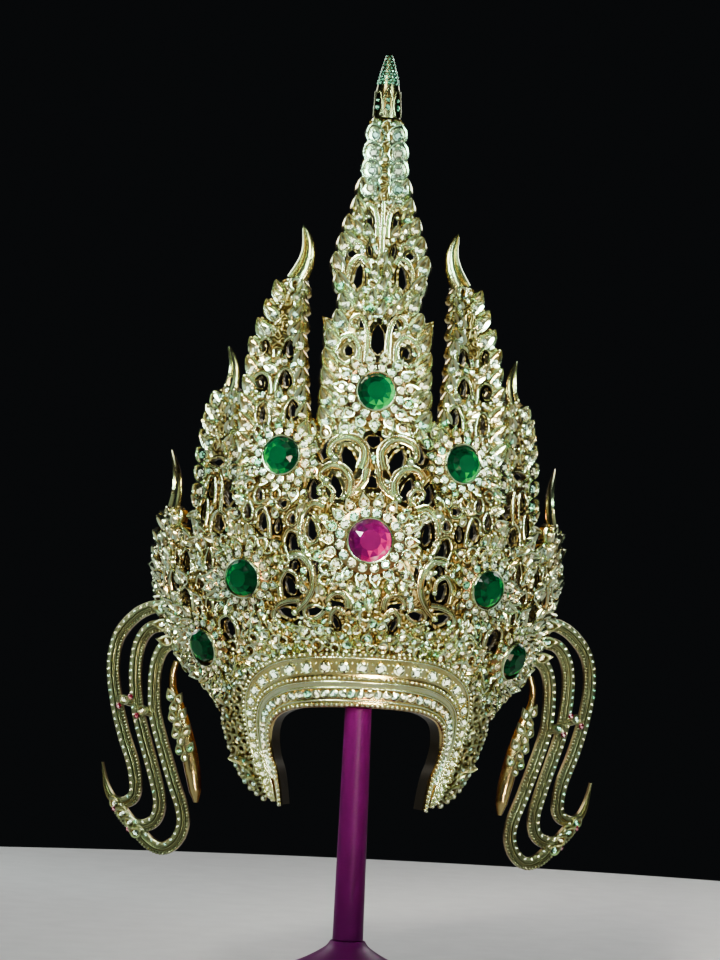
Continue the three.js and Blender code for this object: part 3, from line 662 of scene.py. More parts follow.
class Paint(Graph):
    """The graph of one material round its principled shader."""

    def __init__(self, name: str) -> None:
        """Starts the material.

        Args:
            name: Its name.
        """
        self.material = bpy.data.materials.new(name)
        self.material.use_nodes = True
        super().__init__(self.material.node_tree)
        self.shader = self.tree.nodes["Principled BSDF"]

    def set(self, **values: object) -> None:
        """Links or sets the shader's inputs."""
        self.feed(self.shader, **values)

    def attribute(self, name: str) -> NodeSocket:
        """Value of a mesh attribute."""
        return self.node("ShaderNodeAttribute", attribute_name=name).outputs["Fac"]

    def noise(self, scale: float, detail: float = 3.0) -> NodeSocket:
        """Noise in the object's own space, with scale in turns per metre."""
        place = self.node("ShaderNodeTexCoord").outputs["Object"]
        return self.node("ShaderNodeTexNoise", place, Scale=scale, Detail=detail).outputs["Fac"]

    def math(self, operation: str, *values: NodeSocket | float) -> NodeSocket:
        """Result of one sum."""
        return self.node("ShaderNodeMath", *values, operation=operation).outputs[0]

    def vector(self, operation: str, *values: object, output: str = "Vector", **named: object) -> NodeSocket:
        """Result of one sum of vectors or colours."""
        return self.node("ShaderNodeVectorMath", *values, operation=operation, **named).outputs[output]

    def span(self, factor: NodeSocket, low: float, high: float,
             first: float = 0.0, last: float = 1.0) -> NodeSocket:
        """A factor that runs from first to last, stretched to run from low to high."""
        return self.node("ShaderNodeMapRange", factor, first, last, low, high).outputs[0]

    def ramp(self, factor: NodeSocket, stops: Sequence[tuple[float, Colour]]) -> NodeSocket:
        """Colour read off a row of stops.

        Args:
            factor: Place on the ramp.
            stops: Place and colour of each stop.

        Returns:
            The colour's socket.
        """
        made = self.node("ShaderNodeValToRGB", factor)
        while len(made.color_ramp.elements) < len(stops):
            made.color_ramp.elements.new(1.0)
        for element, (at, colour) in zip(made.color_ramp.elements, stops):
            element.position = at
            element.color = (*colour, 1.0)
        return made.outputs["Color"]

    def bump(self, height: NodeSocket, strength: float, depth: float) -> None:
        """Raises the surface by a height, with depth in metres."""
        raised = self.node("ShaderNodeBump", Strength=strength, Distance=depth, Height=height)
        self.set(Normal=raised.outputs["Normal"])


@dataclass(frozen=True)
class GiltFinish:
    """Cast and gilded metal with painted light: pale on the ridges as painted highlight, deep orange in the
    recesses as painted shade, with a fine grain.
    """

    name: str
    bright: Colour = (0.73, 0.88, 0.58)
    middle: Colour = (0.63, 0.52, 0.22)
    recess: Colour = (0.28, 0.14, 0.045)
    middle_at: float = 0.42
    bright_at: float = 0.85
    wear: float = 1.1
    polish: float = 0.1
    dull: float = 0.28
    patch_scale: float = 70.0
    grain_scale: float = 1500.0
    grain_strength: float = 0.35
    grain_depth: float = 0.00012

    def build(self) -> Material:
        """Makes the material.

        Returns:
            The material.
        """
        paint = Paint(self.name)
        patch, grain = paint.noise(self.patch_scale), paint.noise(self.grain_scale, 2.0)
        worn = paint.math("MULTIPLY_ADD", patch, self.wear, -self.wear / 2.0)
        height = paint.math("ADD", paint.attribute("crest"), worn)
        # The crest value picks the colour: painted shade in the recesses, gold between, painted highlight on
        # the ridges.
        stops = ((0.0, self.recess), (self.middle_at, self.middle), (self.bright_at, self.bright))
        paint.set(Base_Color=paint.ramp(height, stops), Metallic=1.0)
        rough = paint.math("MULTIPLY_ADD", grain, 0.5, 0.25)
        paint.set(Roughness=paint.span(rough, self.dull, self.polish))
        paint.bump(grain, self.grain_strength, self.grain_depth)
        return paint.material


@dataclass(frozen=True)
class PlateFinish:
    """Back plate of the castings: chased with fine swirls in front, plain gold behind, its front and edges
    darkened as painted shade.
    """

    name: str
    low: Colour = (0.05, 0.028, 0.005)
    middle: Colour = (0.24, 0.16, 0.035)
    high: Colour = (0.5, 0.43, 0.17)
    behind: Colour = (0.50, 0.39, 0.13)
    turnover: float = 0.04
    edge_width: float = 0.09
    edge_shade: float = 0.12
    swirl_scale: float = 150.0
    swirl_turns: float = 42.0
    swirl_strength: float = 0.8
    swirl_depth: float = 0.0012
    swirl_behind: float = 0.12
    dull_scale: float = 400.0
    polish: float = 0.25
    dull: float = 0.5

    def build(self) -> Material:
        """Makes the material.

        Returns:
            The material.
        """
        paint = Paint(self.name)
        own = paint.node("ShaderNodeTexCoord").outputs
        spoke = paint.vector("SUBTRACT", own["Object"], (0.0, WALL.axis_y * MM, 0.0))
        level = paint.vector("MULTIPLY", spoke, (1.0, 1.0, 0.0))
        facing = paint.vector("DOT_PRODUCT", level, own["Normal"], output="Value")
        share = paint.span(facing, 0.0, 1.0, -self.turnover, self.turnover)
        turns = paint.math("MULTIPLY", paint.noise(self.swirl_scale, 1.0), self.swirl_turns)
        swirl = paint.math("MULTIPLY_ADD", paint.math("SINE", turns), 0.5, 0.5)
        # The front's colours are dark: painted shade of the relief in front of the plate.
        front = paint.ramp(swirl, ((0.0, self.low), (0.5, self.middle), (1.0, self.high)))
        colour = paint.node("ShaderNodeMixRGB", share, (*self.behind, 1.0), front).outputs[0]
        # Edges that face sideways turn dark: painted shade in the cut gaps.
        shade = paint.span(paint.math("ABSOLUTE", facing), self.edge_shade, 1.0, 0.0, self.edge_width)
        paint.set(Base_Color=paint.vector("SCALE", colour, Scale=shade), Metallic=1.0)
        paint.set(Roughness=paint.span(paint.noise(self.dull_scale), self.polish, self.dull))
        relief = paint.math("MULTIPLY", swirl, paint.span(share, self.swirl_behind, 1.0))
        paint.bump(relief, self.swirl_strength, self.swirl_depth)
        return paint.material


@dataclass(frozen=True)
class CrystalFinish:
    """Small foil-backed stones: clear, pale green and pale blue by turns, each facet with its own painted
    light, the brightest glowing as painted glints.
    """

    name: str
    dark: float = 0.05
    light: float = 1.0
    glow: float = 3.4
    glow_power: float = 6.0
    tints: tuple[tuple[float, Colour], ...] = (
        (0.0, (0.95, 0.86, 0.50)), (0.3, (0.90, 0.97, 0.66)), (0.6, (0.78, 0.98, 0.72)),
        (0.85, (0.52, 0.93, 0.74)), (1.0, (0.14, 0.72, 0.36)),
    )

    def build(self) -> Material:
        """Makes the material.

        Returns:
            The material.
        """
        paint = Paint(self.name)
        tint = paint.ramp(paint.attribute("tint"), self.tints)
        shade = paint.span(paint.attribute("facet"), self.dark, self.light)
        # The brightest facets glow: painted glints, not lamps.
        painted_glint = paint.math("MULTIPLY", paint.math("POWER", shade, self.glow_power), self.glow)
        paint.set(Base_Color=paint.vector("SCALE", tint, Scale=shade), Metallic=0.75, Roughness=0.12, IOR=1.6)
        paint.set(Emission_Color=tint, Emission_Strength=painted_glint)
        return paint.material


@dataclass(frozen=True)
class GemFinish:
    """A large cut stone coloured by its facets' painted light: deep in the dark facets, bright in the lit
    ones, white at a painted glint.
    """

    name: str
    deep: Colour
    body: Colour
    flash: Colour
    glint: Colour = (0.9, 0.9, 0.9)
    glow: float = 0.7
    cloud_scale: float = 160.0
    cloud_depth: float = 0.24
    dimmed: float = 0.87

    def build(self) -> Material:
        """Makes the material.

        Returns:
            The material.
        """
        paint = Paint(self.name)
        clouds = paint.noise(self.cloud_scale, 1.0)
        clouded = paint.math("MULTIPLY_ADD", clouds, self.cloud_depth, -self.cloud_depth / 2.0)
        facet = paint.math("MULTIPLY", paint.math("ADD", paint.attribute("facet"), clouded), self.dimmed)
        stops = ((0.0, self.deep), (0.5, self.body), (0.8, self.flash), (1.0, self.glint))
        colour = paint.ramp(facet, stops)
        # A faint glow in the lit facets: painted light returned through the stone.
        painted_return = paint.math("MULTIPLY", paint.math("POWER", facet, 2.0), self.glow)
        paint.set(Base_Color=colour, Roughness=0.12, Specular_IOR_Level=0.12)
        paint.set(Emission_Color=colour, Emission_Strength=painted_return)
        return paint.material


@dataclass(frozen=True)
class PlasticFinish:
    """Smooth satin plastic with a faint moulded ripple."""

    name: str
    colour: Colour
    deeper: Colour
    ripple_scale: float = 45.0
    satin_scale: float = 300.0
    grain_scale: float = 900.0
    grain_depth: float = 0.0001

    def build(self) -> Material:
        """Makes the material.

        Returns:
            The material.
        """
        paint = Paint(self.name)
        ripple = paint.noise(self.ripple_scale, 2.0)
        paint.set(Base_Color=paint.ramp(ripple, ((0.3, self.deeper), (0.7, self.colour))))
        paint.set(Roughness=paint.span(paint.noise(self.satin_scale), 0.32, 0.46), Specular_IOR_Level=0.08)
        paint.bump(paint.noise(self.grain_scale, 2.0), 0.15, self.grain_depth)
        return paint.material


class Finishes:
    """All materials of the object, made once."""

    def __init__(self) -> None:
        """Makes the materials."""
        self.gilt = GiltFinish("gilt_leafwork").build()
        self.plate = PlateFinish("gilt_back_plate").build()
        # Near black: painted shade for the strips round the gaps.
        self.liner = GiltFinish(
            "gilt_liners", (0.012, 0.009, 0.004), (0.01, 0.007, 0.003), (0.008, 0.006, 0.002)).build()
        # Near black: painted shade on the wall that turns in behind the brow band.
        self.flange = GiltFinish(
            "gilt_flange", (0.05, 0.04, 0.015), (0.035, 0.026, 0.01), (0.02, 0.015, 0.006),
            polish=0.45, dull=0.55).build()
        self.polished = GiltFinish(
            "gilt_horns", (0.40, 0.48, 0.26), (0.33, 0.28, 0.09), (0.09, 0.05, 0.012),
            polish=0.14, dull=0.3).build()
        self.drop = GiltFinish(
            "gilt_drops", (0.60, 0.48, 0.20), (0.44, 0.26, 0.07), (0.16, 0.06, 0.01)).build()
        self.band = GiltFinish("gilt_band", (0.88, 0.97, 0.62), (0.80, 0.70, 0.26)).build()
        self.lobe = GiltFinish(
            "gilt_lobes", (0.25, 0.36, 0.22), (0.18, 0.20, 0.09), (0.06, 0.04, 0.012)).build()
        # Darker gilt for the lappets and ear flares: painted shade where the light falls off.
        self.aged = GiltFinish(
            "gilt_flares", (0.36, 0.40, 0.21), (0.31, 0.26, 0.085), (0.1, 0.05, 0.01),
            polish=0.2, dull=0.4).build()
        self.crystal = CrystalFinish("small_stones").build()
        # A dimmer copy of the small stones' finish: painted shade for stones away from the middle.
        self.shaded = CrystalFinish("shaded_stones", light=0.84, glow=1.8).build()
        self.ruby = GemFinish(
            "red_chips", (0.03, 0.0, 0.004), (0.12, 0.002, 0.012), (0.4, 0.01, 0.05)).build()
        self.green = GemFinish(
            "green_stones", (0.0, 0.009, 0.003), (0.0, 0.048, 0.015), (0.0, 0.25, 0.035)).build()
        self.pink = GemFinish("pink_stone", (0.035, 0.0, 0.026), (0.11, 0.0, 0.052), (0.4, 0.0, 0.11)).build()
        self.plastic = PlasticFinish("magenta_plastic", (0.1, 0.0003, 0.08), (0.078, 0.0002, 0.062)).build()


# Small shapes that are set many times, each about 1 mm in radius


def pointed(sides: int, point: float, spread: float) -> tuple[Array, Array]:
    """Angles round a small shape, and how far it reaches at each, with a point at angle 0."""
    a = np.linspace(-np.pi, np.pi, sides, endpoint=False)
    return a, 1.0 + point * np.exp(-((a / spread) ** 2))


def leaf_shape(shape: Shape) -> None:
    """Adds a stone-set leaf: a dish with a raised rim that runs out to a point.

    Args:
        shape: Shape that it is added to.
    """
    narrow, lift = 0.92, 0.3
    rows = ((0.02, 0.14, 0.1), (0.5, 0.1, 0.0), (0.76, 0.46, 0.9), (0.9, 0.44, 1.0),
            (1.0, 0.0, 0.4), (0.9, -0.6, 0.2))
    a, reach = pointed(12, 0.85, 0.42)
    rings = []
    for out, rise, _ in rows:
        radius = out * (1.0 + (reach - 1.0) * out**2)
        lifted = rise + lift * out * (reach - 1.0)
        rings.append(np.stack([narrow * radius * np.sin(a), radius * np.cos(a), lifted], 1))
    shape.tube(np.array(rings) * MM, np.array(rows)[:, 2:])


def lobe_shape(shape: Shape) -> None:
    """Adds a low lobe with a rim and a blunt point.

    Args:
        shape: Shape that it is added to.
    """
    rows = ((0.02, 0.22, 0.6), (0.5, 0.24, 0.7), (0.7, 0.2, 0.3), (0.78, 0.42, 1.0), (0.9, 0.4, 1.0),
            (1.0, 0.0, 0.3), (0.9, -0.6, 0.0))
    a, reach = pointed(14, 0.3, 0.5)
    rings = [np.stack([out * reach * np.sin(a), out * reach * np.cos(a), rise + 0.0 * a], 1)
             for out, rise, _ in rows]
    shape.tube(np.array(rings) * MM, np.array(rows)[:, 2:])


def flame_shape(shape: Shape, bend: int) -> None:
    """Adds a flame leaf about 3 mm long whose tip curls to one side.

    Args:
        shape: Shape that it is added to.
        bend: Side that the tip curls to, as the sign of x.
    """
    girth = ((0.0, 0.55), (0.16, 0.94), (0.36, 1.06), (0.56, 0.98), (0.76, 0.72), (0.91, 0.4), (1.0, 0.06))
    section = mirrored(((1.0, -0.5), (1.0, 0.0), (0.74, 0.48), (0.36, 0.2), (0.0, 0.36)))
    across, rise = np.array(section).T
    rings = []
    for u, half in girth:
        side, ahead, thick = bend * 0.6 * u**2.2, 2.2 * u - 0.8, 0.35 + 0.65 * half
        rings.append(np.stack([side + half * across, ahead + 0.0 * across, rise * thick + 0.5 * u**2], 1))
    shape.tube(np.array(rings) * MM, np.clip(2.0 * rise, 0.38, 1.0))


def curl_shape(shape: Shape, bend: int) -> None:
    """Adds a small volute that ends in a ball.

    Args:
        shape: Shape that it is added to.
        bend: Side that it turns to, as the sign of x.
    """
    across, rise = np.array(mirrored(((1.0, -0.8), (0.86, 0.55), (0.0, 1.0)))).T
    rings = []
    for u in np.linspace(0.0, 1.0, 11):
        a, half = math.pi * (-0.55 + 1.75 * u), 0.36 - 0.12 * u
        radius = 0.92 - 0.42 * u**2 + half * across
        rings.append(np.stack([-bend * radius * np.cos(a), radius * np.sin(a), rise * half + 0.2], 1))
    shape.tube(np.array(rings) * MM, np.clip(rise, 0.0, 1.0))
    shape.ball(rings[-1].mean(axis=0) * MM, 0.36, UPRIGHT[2])


def cup_shape(shape: Shape) -> None:
    """Adds a plain collet for one small stone."""
    rows = ((0.2, 0.0, 0.0), (0.98, 0.05, 0.2), (1.06, 0.42, 1.0), (1.28, 0.34, 0.9), (1.4, -0.8, 0.0))
    shape.turned(UPRIGHT, ORIGIN, rows, 10)


def bead_shape(shape: Shape) -> None:
    """Adds a bead."""
    shape.ball(ORIGIN, 1.0, UPRIGHT[2])


class Kind(Enum):
    """Small gold shapes: how each is made, and the turn in degrees past which its edges stay sharp."""

    LEAF = (leaf_shape, 50.0)
    LOBE = (lobe_shape, 50.0)
    FLAME_LEFT = (partial(flame_shape, bend=-1), 50.0)
    FLAME_RIGHT = (partial(flame_shape, bend=1), 50.0)
    CURL_LEFT = (partial(curl_shape, bend=-1), 70.0)
    CURL_RIGHT = (partial(curl_shape, bend=1), 70.0)
    CUP = (cup_shape, 50.0)
    BEAD = (bead_shape, 80.0)


class Cut(Enum):
    """Ways to cut a stone: rings of radius, rise, corners per side and phase."""

    TABLE = ((0.5, 0.42, 1, 0.5), (0.8, 0.27, 1, 0.0), (1.0, 0.0, 2, 0.5))
    ROSE = ((0.0, 0.56, 1, 0.0), (0.62, 0.38, 1, 0.5), (1.0, 0.0, 2, 0.25))


@dataclass(frozen=True)
class Sparkle:
    """Light of a small stone's facets: dark, middling or bright by chance."""

    darkest: float
    chance: np.random.Generator
    others: tuple[float, ...] = (0.28, 0.55, 1.0)
    shares: tuple[float, ...] = (0.32, 0.27, 0.22, 0.19)

    def __call__(self, normal: Vector) -> float:
        """Light of the next facet."""
        return float(self.chance.choice((self.darkest, *self.others), p=self.shares))


@dataclass(frozen=True)
class GemLight:
    """Light of a large stone's facets: brighter towards one angle, and white at another unless that is 0."""

    direction: float
    glint: float
    chance: np.random.Generator
    spread: float = 0.28
    table: float = 0.33
    slope: float = 0.9
    brightest: float = 0.92
    white: float = 1.2

    def __call__(self, normal: Vector) -> float:
        """Light of the next facet.

        Args:
            normal: Where the facet faces.

        Returns:
            Its light, from 0 to about 1.
        """
        a, b = math.radians(self.direction), math.radians(self.glint)
        across = Vector((math.cos(b), math.sin(b), 0.0)).dot(Vector((normal.x, normal.y, 0.0)).normalized())
        if self.glint and across > 0.97 and 0.75 < normal.z < 0.97:
            return self.white
        side = normal.x * math.cos(a) + normal.y * math.sin(a)
        vary = self.chance.uniform(-self.spread, self.spread)
        light = self.table + self.slope * side + (vary if normal.z < 0.99 else 0.0)
        return float(np.clip(light, 0.0, self.brightest))


def cut_stone(name: str, finish: Material, cut: Cut, sides: int, lights: Callable[[Vector], float]) -> Object:
    """Makes a cut stone of 1 mm radius with a flat back.

    Args:
        name: Name of the object.
        finish: Its material.
        cut: How it is cut.
        sides: Facets round its middle.
        lights: Gives the light of a facet, from 0 to 1, for its normal.

    Returns:
        The object, with a facet value on each face.
    """
    grown = bmesh.new()
    for radius, rise, share, phase in cut.value:
        count = sides * share if radius else 1
        for i in range(count):
            a = 2.0 * math.pi * (i + phase) / count
            grown.verts.new((radius * math.cos(a) * MM, radius * math.sin(a) * MM, rise * MM))
    bmesh.ops.convex_hull(grown, input=grown.verts)
    bmesh.ops.dissolve_limit(grown, angle_limit=math.radians(1.0), verts=grown.verts, edges=grown.edges)
    bmesh.ops.recalc_face_normals(grown, faces=grown.faces)
    mesh = bpy.data.meshes.new(name)
    grown.to_mesh(mesh)
    grown.free()
    facet = mesh.attributes.new("facet", "FLOAT", "FACE")
    for face, value in zip(mesh.polygons, facet.data):
        value.value = lights(face.normal)
    mesh.materials.append(finish)
    return link_object(name, mesh)


class Spots:
    """Places where copies of one small shape are set, each with its turn, size and tint."""

    def __init__(self) -> None:
        """Starts with no places."""
        self.rows: list[tuple[Array, Sequence[float], float, float]] = []

    def add(self, seat: Seat, size: float, tint: float = 0.5) -> None:
        """Adds one place.

        Args:
            seat: Where the copy sits.
            size: Size of the copy, whose shape has a radius of 1 mm.
            tint: Value for the finish.
        """
        along, up, out = seat.site.frame(seat.s, seat.h)
        a, b = math.radians(seat.turn), math.radians(seat.tilt)
        level = along * math.sin(a) + up * math.cos(a)
        y = level * math.cos(b) + out * math.sin(b)
        z = out * math.cos(b) - level * math.sin(b)
        turn = Matrix(np.stack([np.cross(y, z), y, z], 1).tolist()).to_quaternion()
        self.rows.append((seat.site.place(seat.s, seat.h, seat.t).reshape(3), tuple(turn), size, tint))


class NodeTools:
    """Geometry node trees that set small shapes on points and run wires along paths."""

    def __init__(self) -> None:
        """Builds both trees."""
        self.setting = self._setting_tree()
        self.wiring = self._wiring_tree()

    @staticmethod
    def _begun(name: str, **inputs: str) -> tuple[Graph, Node]:
        """Starts a tree.

        Args:
            name: Name of the tree.
            inputs: Name and kind of each input after the geometry.

        Returns:
            The tree's graph and its input node.
        """
        tree = bpy.data.node_groups.new(name, "GeometryNodeTree")
        for label, kind in {"Geometry": "Geometry", **inputs}.items():
            tree.interface.new_socket(name=label, in_out="INPUT", socket_type=f"NodeSocket{kind}")
        tree.interface.new_socket(name="Geometry", in_out="OUTPUT", socket_type="NodeSocketGeometry")
        graph = Graph(tree)
        return graph, graph.node("NodeGroupInput")

    @staticmethod
    def _ended(graph: Graph, made: NodeSocket, finish: NodeSocket) -> NodeTree:
        """Ends a tree: makes its copies real and coats them.

        Args:
            graph: The tree's graph.
            made: What the tree has made.
            finish: The material.

        Returns:
            The tree.
        """
        real = graph.node("GeometryNodeRealizeInstances", made)
        coat = graph.node("GeometryNodeSetMaterial", real.outputs["Geometry"], Material=finish)
        graph.node("NodeGroupOutput", coat.outputs["Geometry"])
        return graph.tree

    @staticmethod
    def _named(graph: Graph, name: str, kind: str) -> NodeSocket:
        """Socket that reads a named attribute of the points."""
        node = graph.node("GeometryNodeInputNamedAttribute", data_type=kind, Name=name)
        return next(socket for socket in node.outputs if socket.enabled and socket.name == "Attribute")

    def _setting_tree(self) -> NodeTree:
        """Makes the tree that sets a shape on every point, turned and sized by the point's attributes.

        Returns:
            The tree.
        """
        graph, given = self._begun("set_on_points", Shape="Object", Finish="Material")
        shape = graph.node("GeometryNodeObjectInfo", Object=given.outputs["Shape"])
        copies = graph.node(
            "GeometryNodeInstanceOnPoints", given.outputs["Geometry"], Instance=shape.outputs["Geometry"],
            Rotation=self._named(graph, "turn", "QUATERNION"), Scale=self._named(graph, "size", "FLOAT"))
        return self._ended(graph, copies.outputs["Instances"], given.outputs["Finish"])

    def _wiring_tree(self) -> NodeTree:
        """Makes the tree that runs a round wire along every line of edges.

        Returns:
            The tree.
        """
        graph, given = self._begun("wire_along_paths", Radius="Float", Sides="Int", Finish="Material")
        curve = graph.node("GeometryNodeMeshToCurve", given.outputs["Geometry"])
        sides, radius = given.outputs["Sides"], given.outputs["Radius"]
        ring = graph.node("GeometryNodeCurvePrimitiveCircle", Resolution=sides, Radius=radius)
        wire = graph.node(
            "GeometryNodeCurveToMesh", curve.outputs["Curve"], Profile_Curve=ring.outputs["Curve"],
            Fill_Caps=True)
        # A high crest value gives the wires the gilt's painted highlight.
        raised = graph.node("GeometryNodeStoreNamedAttribute", wire.outputs["Mesh"], Name="crest", Value=0.9)
        return self._ended(graph, raised.outputs["Geometry"], given.outputs["Finish"])

    @staticmethod
    def _run(thing: Object, tree: NodeTree, values: dict[str, object]) -> Object:
        """Runs a tree on an object and keeps the result as a plain mesh.

        Args:
            thing: Object whose mesh goes in.
            tree: The node tree.
            values: Value of each named input.

        Returns:
            The object with its new mesh.
        """
        modifier = thing.modifiers.new(tree.name, "NODES")
        modifier.node_group = tree
        for item in tree.interface.items_tree:
            if item.in_out == "INPUT" and item.name in values:
                modifier[item.identifier] = values[item.name]
        graph = bpy.context.evaluated_depsgraph_get()
        made = bpy.data.meshes.new_from_object(
            thing.evaluated_get(graph), preserve_all_data_layers=True, depsgraph=graph)
        thing.modifiers.clear()
        made.name = thing.name
        thing.data = made
        return thing

    def set_all(self, name: str, spots: Spots, shape: Object, finish: Material) -> Object:
        """Sets a shape on every spot.

        Args:
            name: Name of the new object.
            spots: The places.
            shape: Object that is copied.
            finish: Material of the copies.

        Returns:
            The new object.
        """
        mesh = bpy.data.meshes.new(name)
        points, turns, sizes, tints = zip(*spots.rows)
        mesh.from_pydata(np.array(points).tolist(), [], [])
        layers = (("turn", "QUATERNION", turns), ("size", "FLOAT", sizes), ("tint", "FLOAT", tints))
        for label, kind, values in layers:
            layer = mesh.attributes.new(label, kind, "POINT")
            layer.data.foreach_set("value", np.array(values, np.float32).ravel())
        return self._run(link_object(name, mesh), self.setting, {"Shape": shape, "Finish": finish})

    def wires(self, name: str, paths: Sequence[Array], radius: float, finish: Material) -> Object:
        """Runs round wires along paths.

        Args:
            name: Name of the new object.
            paths: Lines of points in metres.
            radius: Radius of the wire in millimetres.
            finish: Its material.

        Returns:
            The new object.
        """
        points, edges = [], []
        for path in paths:
            edges += [(len(points) + i, len(points) + i + 1) for i in range(len(path) - 1)]
            points += path.tolist()
        mesh = bpy.data.meshes.new(name)
        mesh.from_pydata(points, edges, [])
        values = {"Radius": radius * MM, "Sides": 8, "Finish": finish}
        wire = self._run(link_object(name, mesh), self.wiring, values)
        wire.data.shade_smooth()
        return wire


class Workshop:
    """Finishes, node trees and small shapes that every sub-assembly shares."""

    def __init__(self) -> None:
        """Makes the finishes, the trees and the small shapes."""
        self.finish = Finishes()
        self.nodes = NodeTools()
        self.small: dict[Kind, Object] = {}
        for kind in Kind:
            shape, (draw, sharp) = Shape(), kind.value
            draw(shape)
            self.small[kind] = shape.build(f"small_{kind.name.lower()}", self.finish.gilt, sharp)
        self.stone = self._stone("small_stone", Cut.ROSE, 6, 0.04)
        self.fine_stone = self._stone("fine_stone", Cut.TABLE, 8, 0.07)
        self.chance = np.random.default_rng(SEED)

    def _stone(self, name: str, cut: Cut, sides: int, darkest: float) -> Object:
        """Makes one small stone."""
        lights = Sparkle(darkest, np.random.default_rng(SEED))
        return cut_stone(name, self.finish.crystal, cut, sides, lights)

    def draw(self) -> float:
        """The next number by chance, from 0 to 1."""
        return float(self.chance.uniform())

    def clear(self) -> None:
        """Removes the small shapes once everything is set."""
        for thing in (*self.small.values(), self.stone, self.fine_stone):
            bpy.data.objects.remove(thing)


class Inset(NamedTuple):
    """How a stone is set in a small shape: its distance out and radius, as shares of the shape's size."""

    rise: float = 0.0
    radius: float = 1.0


class StoneWork:
    """Leaves, volutes, collets, beads and small stones gathered for one piece."""

    in_leaf = Inset(0.16, 0.48)
    in_lobe = Inset(0.22, 0.4)
    round_lobe = Inset(0.2, 0.17)
    lobe_ring = 0.64
    in_flame = Inset(0.28, 0.46)
    in_cup = Inset(0.22)

    def __init__(self, shop: Workshop, low: float = 0.0, high: float = 1.0, fine: bool = False) -> None:
        """Starts with nothing gathered.

        Args:
            shop: Shared finishes and shapes.
            low: Lowest tint of its stones, 0 being warm and clear.
            high: Highest tint, 1 being green.
            fine: Whether its stones have a table and many facets.
        """
        self.shop = shop
        self.cut = shop.fine_stone if fine else shop.stone
        self.low, self.high = low, high
        self.spots = {kind: Spots() for kind in Kind}
        self.stones = Spots()

    def leaf(self, seat: Seat, size: float) -> None:
        """Adds a dished leaf with its stone."""
        self.spots[Kind.LEAF].add(seat, size)
        self.stone(seat, size, self.in_leaf)

    def lobe(self, seat: Seat, size: float) -> None:
        """Adds a rimmed lobe set with a stone and a ring of smaller ones.

        Args:
            seat: Where it sits.
            size: Its radius.
        """
        self.spots[Kind.LOBE].add(seat, size)
        self.stone(seat, size, self.in_lobe)
        ring = self.lobe_ring * size
        for a in np.radians((45.0, 135.0, 225.0, 315.0)):
            near = seat._replace(s=seat.s + ring * math.sin(a), h=seat.h + ring * math.cos(a))
            self.stone(near, size, self.round_lobe)

    def flame(self, seat: Seat, size: float, bend: int) -> None:
        """Adds a flame leaf with a small stone at its foot, its tip curling to one side."""
        self.spots[Kind.FLAME_RIGHT if seat.bends_right(bend) else Kind.FLAME_LEFT].add(seat, size)
        self.stone(seat, size, self.in_flame)

    def curl(self, seat: Seat, size: float, bend: int) -> None:
        """Adds a small volute that opens towards its turn and rolls to one side."""
        self.spots[Kind.CURL_RIGHT if seat.bends_right(bend) else Kind.CURL_LEFT].add(seat, size)

    def bead(self, seat: Seat, radius: float) -> None:
        """Adds a gold bead."""
        self.spots[Kind.BEAD].add(seat, radius)

    def cupped(self, seat: Seat, radius: float) -> None:
        """Adds a stone in a plain collet."""
        self.spots[Kind.CUP].add(seat, radius)
        self.stone(seat, radius, self.in_cup)

    def stone(self, seat: Seat, size: float, inset: Inset = Inset()) -> None:
        """Adds a small stone, turned and tinted by chance.

        Args:
            seat: Where it sits, leaning half as far as what it is set in.
            size: Size of what it is set in, or its own radius.
            inset: How it is set in that.
        """
        turn = 360.0 * self.shop.draw()
        lean = 0.5 * seat.tilt * math.cos(math.radians(turn))
        tint = self.low + (self.high - self.low) * self.shop.draw()
        own = seat._replace(t=seat.t + inset.rise * size, turn=turn, tilt=lean)
        self.stones.add(own, inset.radius * size, tint)

    def gold(self, name: str, finish: Material | None = None) -> list[Object]:
        """Makes the gathered gold shapes.

        Args:
            name: First part of the objects' names.
            finish: Their material, or None for the usual gilt.

        Returns:
            An object for each kind that was gathered.
        """
        gilt, small = finish or self.shop.finish.gilt, self.shop.small
        return [self.shop.nodes.set_all(f"{name}_{kind.name.lower()}", spots, small[kind], gilt)
                for kind, spots in self.spots.items() if spots.rows]

    def settle_stones(self, name: str, *nodes: str, shaded: bool = False) -> None:
        """Makes a piece of the gathered stones, with a dimmer finish as painted shade where shaded, to stand
        for nodes.
        """
        finish = self.shop.finish.shaded if shaded else self.shop.finish.crystal
        settled(self.shop.nodes.set_all(name, self.stones, self.cut, finish), Slot.CRYSTAL, *nodes)


